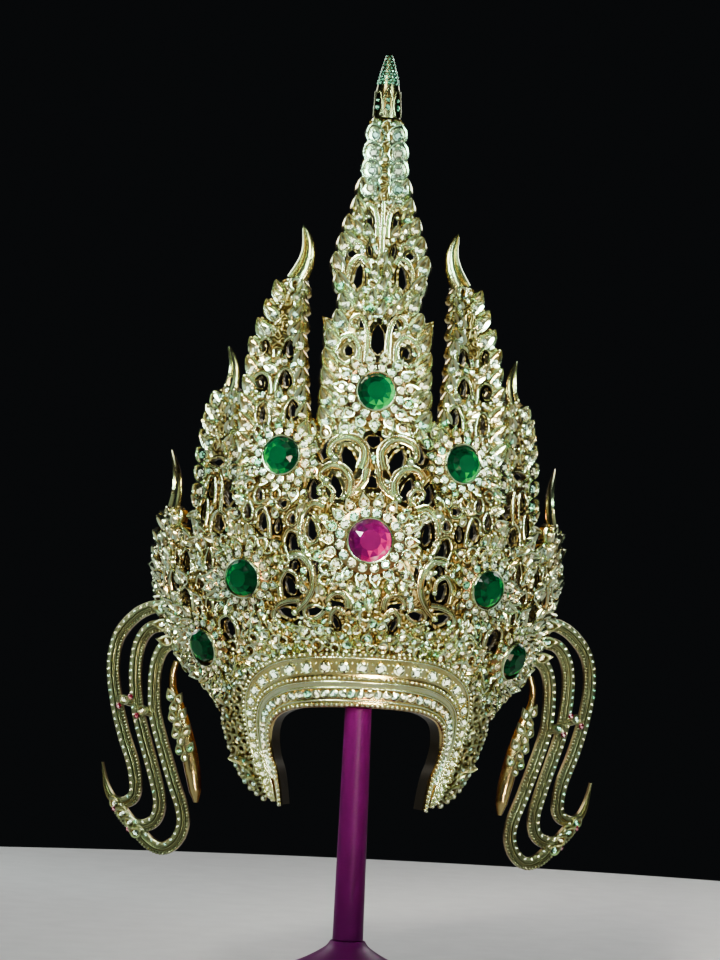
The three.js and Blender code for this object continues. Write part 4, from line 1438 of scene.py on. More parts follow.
@dataclass(frozen=True)
class Filler:
    """Packs small shapes into what is left of a region, large ones first."""

    seed: int
    sizes: tuple[float, ...] = (4.2, 3.5, 2.9, 2.3, 1.8, 1.4)
    tries: int = 1400
    closeness: float = 0.66
    leaf_from: float = 2.6
    flame_share: float = 0.45
    curl_share: float = 0.14
    bead_share: float = 0.5
    sway: float = 26.0
    bead_size: float = 0.7
    bead_lift: float = 0.5
    cup_size: float = 0.72
    cup_lift: float = 0.6
    curl_lift: float = 0.6
    flame_size: float = 0.95
    flame_tilt: float = 18.0
    leaf_lift: float = 0.4
    leaf_tilt: float = 16.0

    def pack(self, low: Sequence[float], high: Sequence[float], fits: Callable[[float, float, float], bool],
             looks: Callable[[float, float], float], taken: Taken) -> list[Placed]:
        """Finds places by chance.

        Args:
            low: Lower corner of the region's box.
            high: Upper corner.
            fits: Whether a shape of a size may stand at a place.
            looks: Where a shape at a place looks, in degrees.
            taken: Place and radius of what already stands there.

        Returns:
            The shapes.
        """
        chance, rows = np.random.default_rng(self.seed), []
        spots = np.array(taken).reshape(-1, 3)
        for size in self.sizes:
            for s, h in chance.uniform(low, high, (self.tries, 2)):
                near = np.hypot(spots[:, 0] - s, spots[:, 1] - h) < self.closeness * (size + spots[:, 2])
                if near.any() or not fits(s, h, size):
                    continue
                turn = looks(s, h) + chance.normal(0.0, self.sway)
                rows.append(Placed(s, h, turn, size, 1 if s > 0.0 else -1))
                spots = np.vstack([spots, rows[-1].taken()])
        return rows

    def dress(self, work: StoneWork, site: Site, rows: Sequence[Placed], t: float) -> None:
        """Sets a leaf, a flame, a volute, a bead or a stone at each place.

        Args:
            work: What they are added to.
            site: The layout.
            rows: The places.
            t: Distance out from the surface.
        """
        chance = np.random.default_rng(self.seed)
        for row in rows:
            pick = chance.uniform()
            if row.size < self.leaf_from and pick < self.bead_share:
                work.bead(Seat(site, row.s, row.h, t + self.bead_lift), self.bead_size * row.size)
            elif row.size < self.leaf_from:
                work.cupped(Seat(site, row.s, row.h, t + self.cup_lift), self.cup_size * row.size)
            elif pick < self.flame_share:
                work.flame(row.seat(site, t, self.flame_tilt), self.flame_size * row.size, row.bend)
            elif pick < self.flame_share + self.curl_share:
                work.curl(row.seat(site, t + self.curl_lift), row.size, row.bend)
            else:
                work.leaf(row.seat(site, t + self.leaf_lift, self.leaf_tilt), row.size)


# Rosettes with the large stones


class Ring(NamedTuple):
    """A ring of small shapes: how many there are, the ring's radius and the size of each."""

    count: int
    radius: float
    size: float

    def seats(self, site: Site, h: float, t: float, tilt: float = 0.0) -> list[Seat]:
        """Seats round a place in the middle of a layout, each looking outwards."""
        out, ways = self.radius, [2.0 * math.pi * (i + 0.5) / self.count for i in range(self.count)]
        return [Seat(site, out * math.sin(a), h + out * math.cos(a), t, math.degrees(a), tilt) for a in ways]


@dataclass(frozen=True)
class Rosette:
    """A large cut stone in its bezel, with a ring of round stones and a ring of leaves round it."""

    name: str
    angle: float
    h: float
    stone: float
    studs: Ring
    leaves: Ring
    slot: Slot = Slot.GREEN
    bright_within: float = 30.0
    leaf_lift: float = 1.4
    leaf_tilt: float = 16.0
    stud_lift: float = 3.0
    bezel_wall: float = 1.1
    bezel_rise: float = 5.2
    seat: float = 2.7
    bezel_sides: int = 40
    gem_sides: int = 12
    gem_drop: float = 0.3

    @property
    def reach(self) -> float:
        """Outer radius of the ring of leaves, without their points."""
        return self.leaves.radius + self.leaves.size

    def build(self, shop: Workshop, hand: Hand) -> None:
        """Makes the setting, the small stones and the large stone.

        Args:
            shop: Shared finishes and shapes.
            hand: Side of the crown.
        """
        site, label = WallSite(self.angle, hand), f"{self.name}{hand.suffix}"
        work = StoneWork(shop, fine=True)
        for seat in self.leaves.seats(site, self.h, WALL.overlay + self.leaf_lift, self.leaf_tilt):
            work.leaf(seat, self.leaves.size)
        for seat in self.studs.seats(site, self.h, WALL.overlay + self.stud_lift):
            work.cupped(seat._replace(turn=0.0), self.studs.size)
        bezel = self._bezel(site).build(f"bezel_{label}", shop.finish.gilt)
        settled(joined(f"rosette_{label}", [bezel, *work.gold(label)]), Slot.GILT, f"setting_{label}")
        work.settle_stones(f"rosette_stones_{label}", shaded=self.angle > self.bright_within)
        self._gem(shop, site, label)

    def _bezel(self, site: WallSite) -> Shape:
        """Makes the bezel on its low boss.

        Args:
            site: The layout.

        Returns:
            The shape.
        """
        _, up, out = site.frame(0.0, self.h)
        inner, outer = self.stone + 0.2, self.stone + self.bezel_wall
        boss = self.leaves.radius - 0.6 * self.leaves.size
        shape = Shape()
        shape.turned(np.array([np.cross(up, out), up, out]), site.place(0.0, self.h, WALL.overlay), (
            (boss + 1.0, -0.4, 0.1), (boss, 1.4, 0.05), (outer + 0.6, 2.9, 0.1), (outer, 3.6, 0.5),
            (outer, self.bezel_rise, 0.9), (outer - 0.4, self.bezel_rise + 0.4, 1.0),
            (inner, self.bezel_rise + 0.2, 1.0), (inner, self.seat, 0.2), (0.1, self.seat, 0.0),
        ), self.bezel_sides)
        return shape

    def _gem(self, shop: Workshop, site: WallSite, label: str) -> None:
        """Makes the large stone in its seat, with painted light brighter on its lower and outer side.

        Args:
            shop: Shared finishes and shapes.
            site: The layout.
            label: Name of the rosette with its side.
        """
        pink = self.slot is Slot.PINK
        finish = shop.finish.pink if pink else shop.finish.green
        # Angle of the painted light, and of the pink stone's painted glint.
        lit, glint = 200.0 if site.hand is Hand.LEFT else -30.0, 150.0 if pink else 0.0
        lights = GemLight(lit, glint, np.random.default_rng(SEED + len(label)))
        cut = cut_stone(f"cut_{label}", finish, Cut.TABLE, self.gem_sides, lights)
        spots = Spots()
        spots.add(Seat(site, 0.0, self.h, WALL.overlay + self.bezel_rise - self.gem_drop), self.stone)
        gem = shop.nodes.set_all(f"gem_{label}", spots, cut, finish)
        bpy.data.objects.remove(cut)
        settled(gem, self.slot, f"stone_{label}")


ROSETTES = (
    Rosette("brow", 0.0, 99.0, 12.6, Ring(16, 16.3, 2.3), Ring(18, 22.6, 4.0), Slot.PINK),
    Rosette("top", 0.0, 187.0, 11.0, Ring(15, 14.4, 2.1), Ring(15, 19.8, 3.9)),
    Rosette("inner", 24.3, 147.0, 11.0, Ring(15, 14.4, 2.1), Ring(16, 18.3, 3.1)),
    Rosette("outer", 34.0, 74.0, 11.0, Ring(15, 14.4, 2.1), Ring(16, 18.3, 3.1)),
    Rosette("ear", 51.5, 32.0, 10.5, Ring(15, 13.8, 2.0), Ring(15, 17.2, 2.8)),
)


# The petals that make the wall


class Tip(NamedTuple):
    """The form that ends a spire: its height and radius, and how far it leans and bulges sideways."""

    form: TipForm
    height: float
    radius: float
    lean: float = 0.0
    bulge: float = 0.0


@dataclass(frozen=True)
class Finial(Site):
    """The finial of the middle spire: a cone with a ring of pointed petals and rows of stones.

    Its layout is wrapped round it: s runs round its foot and h up its axis from there.
    """

    foot: Pair
    tip: Tip
    depth: float = 0.7
    hand: Hand = Hand.MIDDLE
    outline: Pairs = (
        (0.0, 0.96), (0.44, 0.84), (0.64, 0.66), (0.84, 0.42), (0.94, 0.27), (0.985, 0.17), (1.0, 0.02),
    )
    petals: int = 7
    petal_rim: Pairs = mirrored(((-2.6, 1.0), (-3.4, 6.0), (-2.8, 12.0), (0.0, 17.5)))
    petal_half: float = 0.7
    petal_stones: Pairs = ((6.0, 1.7), (10.5, 1.2))
    rows_from: float = 21.0
    rows_to: float = 38.0
    rows: int = 10
    pitch: float = 2.6
    row_stone: float = 1.05
    sides: int = 24
    greenest: float = 0.92

    def girth(self, h: Array) -> Array:
        """Radius at heights above the foot."""
        heights, shares = zip(*self.outline)
        return self.tip.radius * np.interp(np.asarray(h, float) / self.tip.height, heights, shares)

    def base(self) -> tuple[Array, Array]:
        """Middle of the foot, and the directions across, out and up there.

        Returns:
            A point and three rows of unit vectors.
        """
        site = WallSite(0.0)
        _, up, out = site.frame(*self.foot)
        return site.place(*self.foot, WALL.thick / 2.0), np.array([np.cross(up, out), out, up])

    def place(self, s: Array, h: Array, t: Array) -> Array:
        """Points in metres of flat places.

        Args:
            s: Places round the foot.
            h: Heights above the foot.
            t: Distances out from the finial.

        Returns:
            The points.
        """
        origin, (across, out, up) = self.base()
        a = np.asarray(s, float)[..., None] / self.tip.radius
        radius = np.asarray(self.girth(h) + t)[..., None]
        level = across * radius * np.sin(a) + out * radius * self.depth * np.cos(a)
        return origin + (level + up * np.asarray(h, float)[..., None]) * MM

    def axes(self, s: Array, h: Array) -> Axes:
        """Directions of growing s, growing h and outwards, as on an upright round post.

        Args:
            s: Places round the foot.
            h: Heights above the foot; not used.

        Returns:
            Three arrays of unit vectors.
        """
        _, (across, out, up) = self.base()
        a = np.asarray(s, float)[..., None] / self.tip.radius
        facing = across * np.sin(a) + out * np.cos(a)
        return across * np.cos(a) - out * np.sin(a), up + 0.0 * facing, facing

    def build(self, shop: Workshop, label: str) -> None:
        """Makes the finial.

        Args:
            shop: Shared finishes and shapes.
            label: Name of its petal.
        """
        shape, work = Shape(), StoneWork(shop, self.greenest)
        origin, (across, out, up) = self.base()
        heights = np.r_[np.linspace(0.0, 0.94, 12), 0.97, 0.99] * self.tip.height
        cone = [*((float(self.girth(h)), h, 0.1) for h in heights), (0.1, self.tip.height, 1.0)]
        shape.turned(np.array([across, out * self.depth, up]), origin, cone, self.sides)
        girdle = 2.0 * math.pi * self.tip.radius
        for i in range(self.petals):
            middle = girdle * i / self.petals
            rim = smooth_path([(middle + s, h) for s, h in self.petal_rim], 24)
            shape.sweep(self, rim, BLADE, self.petal_half, 0.2, 0.5)
            for h, radius in self.petal_stones:
                work.stone(Seat(self, middle, h, 0.2), radius)
        for row, h in enumerate(np.linspace(self.rows_from, self.rows_to, self.rows)):
            count = round(2.0 * math.pi * float(self.girth(h)) / self.pitch)
            for i in range(count):
                seat = Seat(self, girdle * (i + 0.5 * (row % 2)) / count, h, -0.1)
                work.stone(seat, self.row_stone - 0.05 * row)
        body = shape.build("finial_cone", shop.finish.lobe, SHARP_BAND)
        settled(joined(f"finial_{label}", [body, *work.gold("finial")]), Slot.GILT, f"tip_{label}")
        work.settle_stones("finial_stones", shaded=True)


@dataclass(frozen=True)
class Petal:
    """One casting of the wall with its spire, dressed with scrolls, leaves and small stones.

    A row of the core has a height, the spire's middle and half its width there. A ribbon is a ribbed scroll:
    half its width at the foot, and the places that it passes from there.
    """

    name: str
    angle: float
    half: float
    inner_from: float
    outer_from: float
    leaf_step: float
    tier_from: float
    foot: Pairs
    core: Triples
    tip: Tip
    gaps: tuple[Gap, ...]
    ribbons: tuple[tuple[float, Pairs], ...]
    filler: Filler
    big_leaves: tuple[Placed, ...] = ()
    outlying: bool = False
    scroll_end: float = 0.6
    collar: float = 1.35
    collar_margin: float = 1.2
    hugged_within: float = 4.2
    hugged_share: float = 0.4
    # Width, margin and height of the strips of painted shade round the gaps.
    liner: float = 0.36
    liner_margin: float = 0.1
    liner_top: float = 3.4
    lobe_size: float = 1.06
    lobe_tilt: float = 4.0
    flame_sunk: float = 0.2
    flame_tilt: float = 20.0
    tier_lift: float = 0.6
    tier_lobe_tilt: float = 2.0
    tier_size: float = 0.8
    large_lift: float = 0.2
    leaf_tilt: float = 12.0
    fan_reach: float = 12.0
    fan_height: float = 60.0
    horn_sunk: float = 1.5

    @property
    def crowned(self) -> bool:
        """Whether a finial ends its spire."""
        return self.tip.form is TipForm.FINIAL

    @property
    def in_middle(self) -> bool:
        """Whether it stands in the middle, so that its rows are for one half and mirrored."""
        return self.angle == 0.0

    @property
    def top(self) -> float:
        """Height of the spire's top."""
        return self.core[-1][0]

    def spire(self, h: float) -> tuple[float, float]:
        """Middle and half width of the spire at a height."""
        heights, mids, halves = zip(*self.core)
        return float(np.interp(h, heights, mids)), float(np.interp(h, heights, halves))

    def both_ways(self, rows: Sequence[Gap | Placed]) -> list[Gap | Placed]:
        """Rows with their mirror images, where the petal stands in the middle."""
        flipped = [row for row in rows if self.in_middle and row.s != 0.0]
        return list(rows) + [row._replace(s=-row.s, turn=-row.turn) for row in flipped]

    def ribbon_paths(self) -> list[tuple[Array, float]]:
        """Centre line and half width of every ribbed scroll, mirrored as the other rows are."""
        rows = [(smooth_path(path, 8 * len(path)), half) for half, path in self.ribbons]
        return rows + [(path * FLIP, half) for path, half in rows if self.in_middle and path[:, 0].any()]

    def collar_paths(self) -> list[Array]:
        """Centre lines of the collars of gaps that no scroll hugs.

        Returns:
            A path for each collar.
        """
        scrolls = np.vstack([path for path, _ in self.ribbon_paths()])
        turns = np.linspace(0.06, 0.93, 26)
        rows = []
        for index, gap in enumerate(self.both_ways(self.gaps)):
            path = gap.outline(self.collar_margin, turns if index % 2 else 1.0 - turns)
            apart = np.hypot(*(path[:, None] - scrolls[None]).transpose(2, 0, 1)).min(axis=1)
            hugged = (apart < self.hugged_within).mean() >= self.hugged_share
            if not hugged and self.clear_of_rosettes(gap.s, gap.h, 1.0):
                rows.append(path)
        return rows

    def edge_leaves(self) -> list[Placed]:
        """Leaves up both edges of the spire, smaller and steeper towards its top.

        Returns:
            The leaves.
        """
        rows, top = [], self.top
        for sign, first in ((-1, self.inner_from), (1, self.outer_from)):
            count = round((top - first) / self.leaf_step)
            step = (top - first) / count
            for i in range(count):
                h = first + (i + 0.25) * step
                if self.in_middle and h > self.tier_from:
                    continue
                mid, half = self.spire(h)
                size, turn = step * (0.54 - 0.1 * i / count), sign * (52.0 - 22.0 * i / count)
                rows.append(Placed(mid + sign * (half + 0.15 * size), h, turn, size, -sign))
        return rows

    def tier_leaves(self) -> list[Placed]:
        """Leaves stacked in pairs up the spire, with a smaller one between each pair and the next.

        Returns:
            The leaves.
        """
        rows, h = [], self.tier_from
        while h < self.top - 0.3 * self.leaf_step:
            mid, half = self.spire(h)
            size = min(0.58 * self.leaf_step, 0.66 * half)
            rows += [Placed(mid + sign * 0.7 * half, h, sign * 20.0, size, sign) for sign in (-1, 1)]
            rows.append(Placed(mid, h + 0.45 * self.leaf_step, 0.0, 0.55 * size))
            h += 0.9 * self.leaf_step
        return rows

    def rosette_s(self, rosette: Rosette) -> float:
        """Place along this petal's layout of a rosette."""
        return math.radians(rosette.angle - self.angle) * WallSite.reference

    def clear_of_rosettes(self, s: float, h: float, margin: float) -> bool:
        """Whether a place lies a margin outside every rosette."""
        apart = ((math.hypot(s - self.rosette_s(row), h - row.h), row.reach + margin) for row in ROSETTES)
        return all(distance > reach for distance, reach in apart)

    def fits(self, s: float, h: float, size: float) -> bool:
        """Whether a small shape can stand at a place, clear of edges, face frame, rosettes and gaps.

        Args:
            s: Place along the layout.
            h: Its height.
            size: Radius of the shape.

        Returns:
            True where it can.
        """
        margin, (mid, half), edge = 0.7 * size, self.spire(h), FaceFrame.lappet_edge[:FaceFrame.upper_points]
        on_spire = h > (self.inner_from if s < mid else self.outer_from)
        across = abs(s - mid) < half - margin if on_spire else abs(s) < self.half - 0.4 * margin
        upright = np.interp(s, *zip(*self.foot)) + margin <= h <= self.top - margin
        along = abs(math.radians(self.angle) + s / WallSite.reference) * FaceFrame.site.reference
        above = along > edge[-1][0] or h > np.interp(along, *zip(*edge)) + 0.8 * size
        clear = across and upright and above and self.clear_of_rosettes(s, h, 0.2 * size)
        return clear and not any(gap.holds(s, h, 0.8 * size + 0.8) for gap in self.both_ways(self.gaps))

    def filling(self, taken: Taken) -> list[Placed]:
        """Shapes that fill what is left of the petal round the places that are taken."""
        low, high = (-self.half, min(h for _, h in self.foot)), (self.half, self.top)
        return self.filler.pack(low, high, self.fits, self._fan, taken)

    def _fan(self, s: float, h: float) -> float:
        """Where a filling leaf looks: away from a near rosette, or else up and out.

        Args:
            s: Place along the layout.
            h: Its height.

        Returns:
            The turn in degrees.
        """
        for rosette in ROSETTES:
            ds, dh = s - self.rosette_s(rosette), h - rosette.h
            if math.hypot(ds, dh) < rosette.reach + self.fan_reach:
                return math.degrees(math.atan2(ds, dh))
        return math.degrees(math.atan2(s, self.fan_height))

    def build(self, shop: Workshop, hand: Hand) -> None:
        """Dresses the petal on one side of the crown.

        Args:
            shop: Shared finishes and shapes.
            hand: Side of the crown.
        """
        site, label = WallSite(self.angle, hand), f"{self.name}{hand.suffix}"
        work, tiers = StoneWork(shop, fine=self.outlying), StoneWork(shop, fine=True)
        taken: Taken = []
        ribs = self._scrolls(site, taken).build(f"scrolls_{label}", shop.finish.gilt, SHARP_SCROLL)
        self._leaves(work, tiers, site, taken)
        self.filler.dress(work, site, self.filling(taken), WALL.thick)
        # Near-black strips round the gaps: painted shade.
        shade_strips = self._liners(site).build(f"liners_{label}", shop.finish.liner)
        dull = shop.finish.lobe if self.crowned else shop.finish.gilt
        gold = [*work.gold(label), *tiers.gold(f"{label}_tier", dull)]
        settled(joined(f"leafwork_{label}", [ribs, shade_strips, *gold]), Slot.GILT)
        work.settle_stones(f"leafwork_stones_{label}", shaded=self.outlying)
        tiers.settle_stones(f"tier_stones_{label}", shaded=True)
        if self.crowned:
            _, mid, _ = self.core[-1]
            Finial((mid, self.top + 0.3), self.tip).build(shop, label)
        else:
            horn = self._horn(site).build(f"horn_{label}", shop.finish.polished, SHARP_BAND)
            settled(horn, Slot.GILT, f"tip_{label}")

    def _leaves(self, work: StoneWork, tiers: StoneWork, site: WallSite, taken: Taken) -> None:
        """Sets the leaves of the edges, those stacked up the spire and the large ones.

        Args:
            work: What the leaves of the edges and the large ones are added to.
            tiers: What the stacked ones are added to.
            site: The petal's layout.
            taken: Places that are in use, which they add to.
        """
        edges, stacked, large = self.edge_leaves(), self.tier_leaves(), self.both_ways(self.big_leaves)
        for row in edges:
            if self.outlying:
                work.lobe(row.seat(site, WALL.thick, self.lobe_tilt), self.lobe_size * row.size)
            else:
                work.flame(row.seat(site, WALL.thick - self.flame_sunk, self.flame_tilt), row.size, row.bend)
        tier_t, large_t = WALL.thick + self.tier_lift, WALL.thick + self.large_lift
        for row in stacked:
            if self.crowned:
                tiers.lobe(row.seat(site, tier_t, self.tier_lobe_tilt), row.size)
            else:
                tiers.flame(row.seat(site, tier_t, self.leaf_tilt), self.tier_size * row.size, row.bend)
        for row in large:
            work.flame(row.seat(site, large_t, self.leaf_tilt), row.size, -1 if row.s > 0.0 else 1)
        taken += [row.taken() for row in (*edges, *stacked, *large)]

    def _scrolls(self, site: WallSite, taken: Taken) -> Shape:
        """Makes the ribbed scrolls and collars, each with a ball on its end.

        Args:
            site: The petal's layout.
            taken: Places that are in use, which the scrolls add to.

        Returns:
            The shape.
        """
        shape = Shape()
        for path, half in [*self.ribbon_paths(), *((path, self.collar) for path in self.collar_paths())]:
            taper = np.linspace(1.0, self.scroll_end, len(path)) * half
            shape.sweep(site, path, RIBBED, taper, WALL.thick + 0.4)
            _, _, out = site.frame(*path[-1])
            shape.ball(site.place(*path[-1], WALL.thick + 1.2), 0.85 * half, out)
            taken += [(float(s), float(h), half + 0.4) for s, h in path[::2]]
        return shape

    def _liners(self, site: WallSite) -> Shape:
        """Makes the dark strips round the gaps, which are painted shade of the scrolls.

        Args:
            site: The petal's layout.

        Returns:
            The shape.
        """
        shape, turns = Shape(), np.linspace(0.0, 1.0, 33)[:-1]
        for gap in self.both_ways(self.gaps):
            near, far = self.liner_margin, self.liner * min(gap.width, gap.length)
            section = ((near, WALL.thick), (near, self.liner_top), (far, self.liner_top), (far, WALL.thick))
            rings = [site.line(gap.outline(margin, turns), t) for margin, t in section]
            shape.tube(np.stack(rings, 1), 0.0, looped=True)
        return shape

    def _horn(self, site: WallSite) -> Shape:
        """Makes the grooved horn on top.

        Args:
            site: The petal's layout.

        Returns:
            The shape.
        """
        shape, (top, mid, _) = Shape(), self.core[-1]
        u = np.linspace(0.0, 1.0, 30)
        s = mid + self.tip.lean * u**2 - self.tip.bulge * np.sin(np.pi * u)
        h = top - self.horn_sunk + u * (self.tip.height + self.horn_sunk)
        width = self.tip.radius * (1.0 - 0.25 * u) * np.sqrt(np.clip(1.0 - u**1.5, 0.0, 1.0)) + 0.12
        shape.sweep(site, np.stack([s, h], 1), HORN, width, WALL.thick / 2.0)
        return shape


PETALS = (
    Petal(
        "centre", 0.0, 36.6, 166.0, 166.0, 12.0, 309.0,
        foot=((-36.6, 6.0), (36.6, 6.0)),
        core=(
            (166, 0, 27), (214, 0, 27), (236, 0, 19), (260, 0, 26),
            (284, 0, 20), (302, 0, 13), (330, 0, 11.5), (352, 0, 8.6),
        ),
        tip=Tip(TipForm.FINIAL, 40.0, 8.4),
        gaps=(
            Gap(0, 157.5, 8, 11, 180), Gap(13.6, 146, 17, 10, 18), Gap(26.3, 151.5, 13, 6.5, -12),
            Gap(0, 133.5, 8, 9.5, 0), Gap(20, 130, 15, 7.5, 15), Gap(32.2, 127, 13, 6, 4),
            Gap(32.3, 104, 14, 6, 8), Gap(29.6, 79.5, 12, 5, -12), Gap(17, 60.5, 12, 5.5, 75),
            Gap(17, 50, 8, 4, 20), Gap(29.5, 56, 10, 6.5, -75), Gap(0, 218.5, 19, 10.5, 0),
            Gap(9.5, 228, 7, 5, -15), Gap(17, 211, 7.5, 6.5, 10), Gap(13.3, 256, 16, 6.5, -6),
            Gap(18.5, 269.5, 7, 6, 60), Gap(7.5, 272, 8, 3, 10), Gap(8.3, 290, 10, 4.5, 10),
        ),
        ribbons=(
            (3.8, ((6.4, 141), (4.7, 151), (8.6, 157.5), (15.3, 159.5), (22.6, 156), (24.4, 149.5),
                         (21.2, 146.5))),
            (3.4, ((12.4, 126.5), (12.2, 134.6), (16.7, 141), (23.5, 142.3), (28.4, 138.5), (28.2, 134),
                         (25.4, 133.5))),
            (2.9, ((3.2, 141.5), (4.5, 134), (8.5, 128.5), (15, 124))),
            (2.0, ((22.1, 120.5), (21.5, 126.4), (25.3, 130.6), (29.6, 128.7), (28.6, 125.5))),
            (2.8, ((25.6, 117.8), (31.6, 119.4), (36.6, 114.4), (38.6, 106), (38.3, 97), (34.6, 90.7))),
            (2.9, ((44, 88.5), (37.6, 89), (31.6, 82.5), (30.3, 72), (34, 62.7), (41, 55))),
            (2.3, ((10.1, 59), (10.5, 64), (13.5, 67.5), (18, 67.6), (22, 63.5), (21, 60.5))),
            (1.9, ((11.9, 55.5), (15.5, 58.6), (19.7, 55), (20, 50))),
            (2.2, ((5.8, 205), (6, 217), (7, 226), (11, 232), (15.5, 230.5), (15.8, 226.5), (13, 225.5))),
            (2.1, ((11, 206), (11, 214), (15, 220), (20.5, 219), (24.5, 213), (23.5, 206.5), (18.5, 203),
                         (14.5, 205.5))),
            (1.9, ((9, 264), (12, 267.5), (17, 265), (19.8, 258), (19.4, 249), (17, 245))),
            (2.0, ((22, 250), (23.6, 260), (23.2, 269), (19, 276), (14, 276.5), (11.5, 273.5))),
            (1.7, ((2.8, 280), (3.4, 290), (5.4, 297), (9.5, 299.3), (12.4, 296), (11.5, 292), (9, 292))),
            (1.5, ((0, 270), (0, 284), (0, 296), (0, 305))),
        ),
        big_leaves=(
            Placed(28, 221, 46, 5.6), Placed(15.5, 291, 24, 4.6), Placed(26, 200, 62, 4.6),
            Placed(24, 184, 80, 4.4), Placed(0, 266, 0, 4.2), Placed(4.2, 258, 14, 4.0),
            Placed(0, 250, 0, 4.4), Placed(5.2, 243, 18, 4.2), Placed(0, 236, 0, 4.4),
            Placed(12, 238, 40, 4.0), Placed(17, 243, 48, 4.4), Placed(9, 282, 36, 4.0),
            Placed(15, 284, 48, 4.2), Placed(19, 277, 60, 4.2),
        ),
        filler=Filler(SEED + 1, tries=2600),
    ),
    Petal(
        "inner", 27.25, 20.4, 158.0, 150.0, 11.0, 222.0,
        foot=((-20.4, 4.0), (20.4, 2.0)),
        core=(
            (158, 0.5, 17.5), (186, 2.5, 16), (212, 3.5, 14), (236, -0.4, 9.5),
            (254, -3.8, 5.6),
        ),
        tip=Tip(TipForm.HORN, 32.0, 6.6, -2.0, 6.0),
        gaps=(
            Gap(-4.5, 211, 10, 6, 8), Gap(12.6, 212, 7, 4, -8), Gap(-3.5, 192.5, 10, 5, 10),
            Gap(12.6, 190.5, 8, 6.5, 0), Gap(-9.2, 174.5, 10, 5.5, 5), Gap(9.2, 171.5, 11, 4.5, 0),
            Gap(7.5, 123.5, 8, 4.5, 5), Gap(3.8, 107.5, 12, 6.5, 0), Gap(-7.3, 118.5, 5.5, 5.5, 90),
            Gap(-5, 105.5, 9, 4, 0), Gap(-13.2, 110, 6, 4.5, 0), Gap(14, 114, 9.5, 4.8, 0),
            Gap(-14.8, 95, 11.5, 6, 12), Gap(-16, 82.5, 6, 4.5, 0), Gap(-13.5, 70.5, 12, 7.5, 20),
            Gap(-11.6, 54.5, 13, 7.5, 75),
        ),
        ribbons=(
            (1.9, ((5.5, 206), (7, 214.5), (12, 218), (16.5, 214), (15.5, 207.5))),
            (1.9, ((2.5, 206), (0, 214.5), (-4.5, 218), (-9, 213.5), (-8.5, 207))),
            (1.9, ((5, 184), (6.5, 193), (11.5, 197), (17, 194), (17.5, 187.5), (14.5, 185))),
            (1.8, ((2.5, 186), (1, 195), (-3, 199.5), (-8, 196), (-9, 189.5))),
            (1.7, ((4.5, 163), (5, 173), (8.5, 179), (13, 177), (14, 170), (12, 165.5))),
            (1.8, ((-4, 166), (-4.5, 175), (-8.5, 181.5), (-13.5, 178.5), (-14, 171.5))),
            (1.9, ((-1, 98), (0, 108), (3.5, 116), (8, 114), (8.5, 107))),
            (1.8, ((-18, 101.5), (-12, 103), (-9.5, 96), (-12, 88.5))),
            (2.2, ((-8, 64), (-7.5, 73), (-11.5, 79.5), (-17, 77), (-18.2, 70))),
            (2.2, ((-19.5, 62.5), (-12, 61.5), (-5, 58), (-2.5, 52), (-6, 48.5))),
        ),
        filler=Filler(SEED + 2),
    ),
    Petal(
        "outer", 45.25, 17.3, 134.0, 122.0, 10.5, 154.0,
        foot=((-17.3, -4.0), (17.3, -4.0)),
        core=((128, 0, 12.5), (150, 0.8, 12.5), (172, 0, 9.5), (188, -2, 5)),
        tip=Tip(TipForm.HORN, 25.0, 5.2, 6.0, 2.6),
        gaps=(
            Gap(1.5, 142.5, 12, 5.5, 90), Gap(-9.5, 124, 16, 7, 10), Gap(3.6, 126, 10, 5, -5),
            Gap(8.6, 112.5, 10.5, 4.5, 0), Gap(-4, 106, 11, 8, 15), Gap(3, 84, 12, 4.7, -5),
            Gap(-7.5, 43, 11.5, 9, 180), Gap(5.5, 58, 9, 4.3, -10), Gap(11.4, 70, 8, 6, 0),
        ),
        ribbons=(
            (1.8, ((-4.5, 113), (-4.5, 124), (-3.5, 133), (0, 137.5))),
            (1.7, ((0.5, 117), (0.3, 127), (2, 133.5), (6, 134), (7, 130))),
            (1.6, ((6.5, 105), (5.5, 113), (6.5, 120), (10.5, 121.5), (12, 117))),
            (1.8, ((2.5, 101), (1.5, 109), (-3, 113.5), (-9, 110))),
            (2.1, ((-14, 36), (-14.5, 45), (-9, 51.5), (-1.5, 49), (0, 42.5))),
        ),
        filler=Filler(SEED + 3),
        outlying=True,
    ),
    Petal(
        "end", 69.75, 34.0, 96.0, 52.0, 10.0, 97.0,
        foot=((-34, -8), (-25, 5), (-10, 13), (6, 19), (18, 31), (30, 46)),
        core=(
            (52, 0, 29), (78, 0, 27), (94, -3, 18), (106, -6.5, 11.5),
            (116, -8, 6.5),
        ),
        tip=Tip(TipForm.HORN, 35.0, 5.6, 15.0, 5.0),
        gaps=(
            Gap(-28, 82, 9, 6, 0), Gap(-23.5, 60, 9, 8, 10), Gap(-11.5, 69, 10, 5, 25), Gap(-18, 85, 9, 4, 0),
            Gap(9, 84, 9, 4.5, 70), Gap(20, 66, 9, 4.5, -25), Gap(-1, 73, 9, 4, 0),
        ),
        ribbons=(
            (2.0, ((-30, 53), (-30.5, 62), (-25, 67.5), (-18, 64.5))),
            (1.8, ((-33, 76), (-33, 85), (-28, 90), (-23.5, 87))),
            (1.7, ((-6, 63), (-7, 72), (-11, 77), (-16, 74))),
        ),
        filler=Filler(SEED + 4),
        outlying=True,
    ),
)


# The face frame: brow arch and lappets


class StoneRow(NamedTuple):
    """A row of stones along the brow band: its share of the way across and how its stones are set.

    The radius is a share of the band's width, the pitch is in radii, and the ends stay bare for a length.
    """

    share: float
    radius: float
    pitch: float
    bare: float


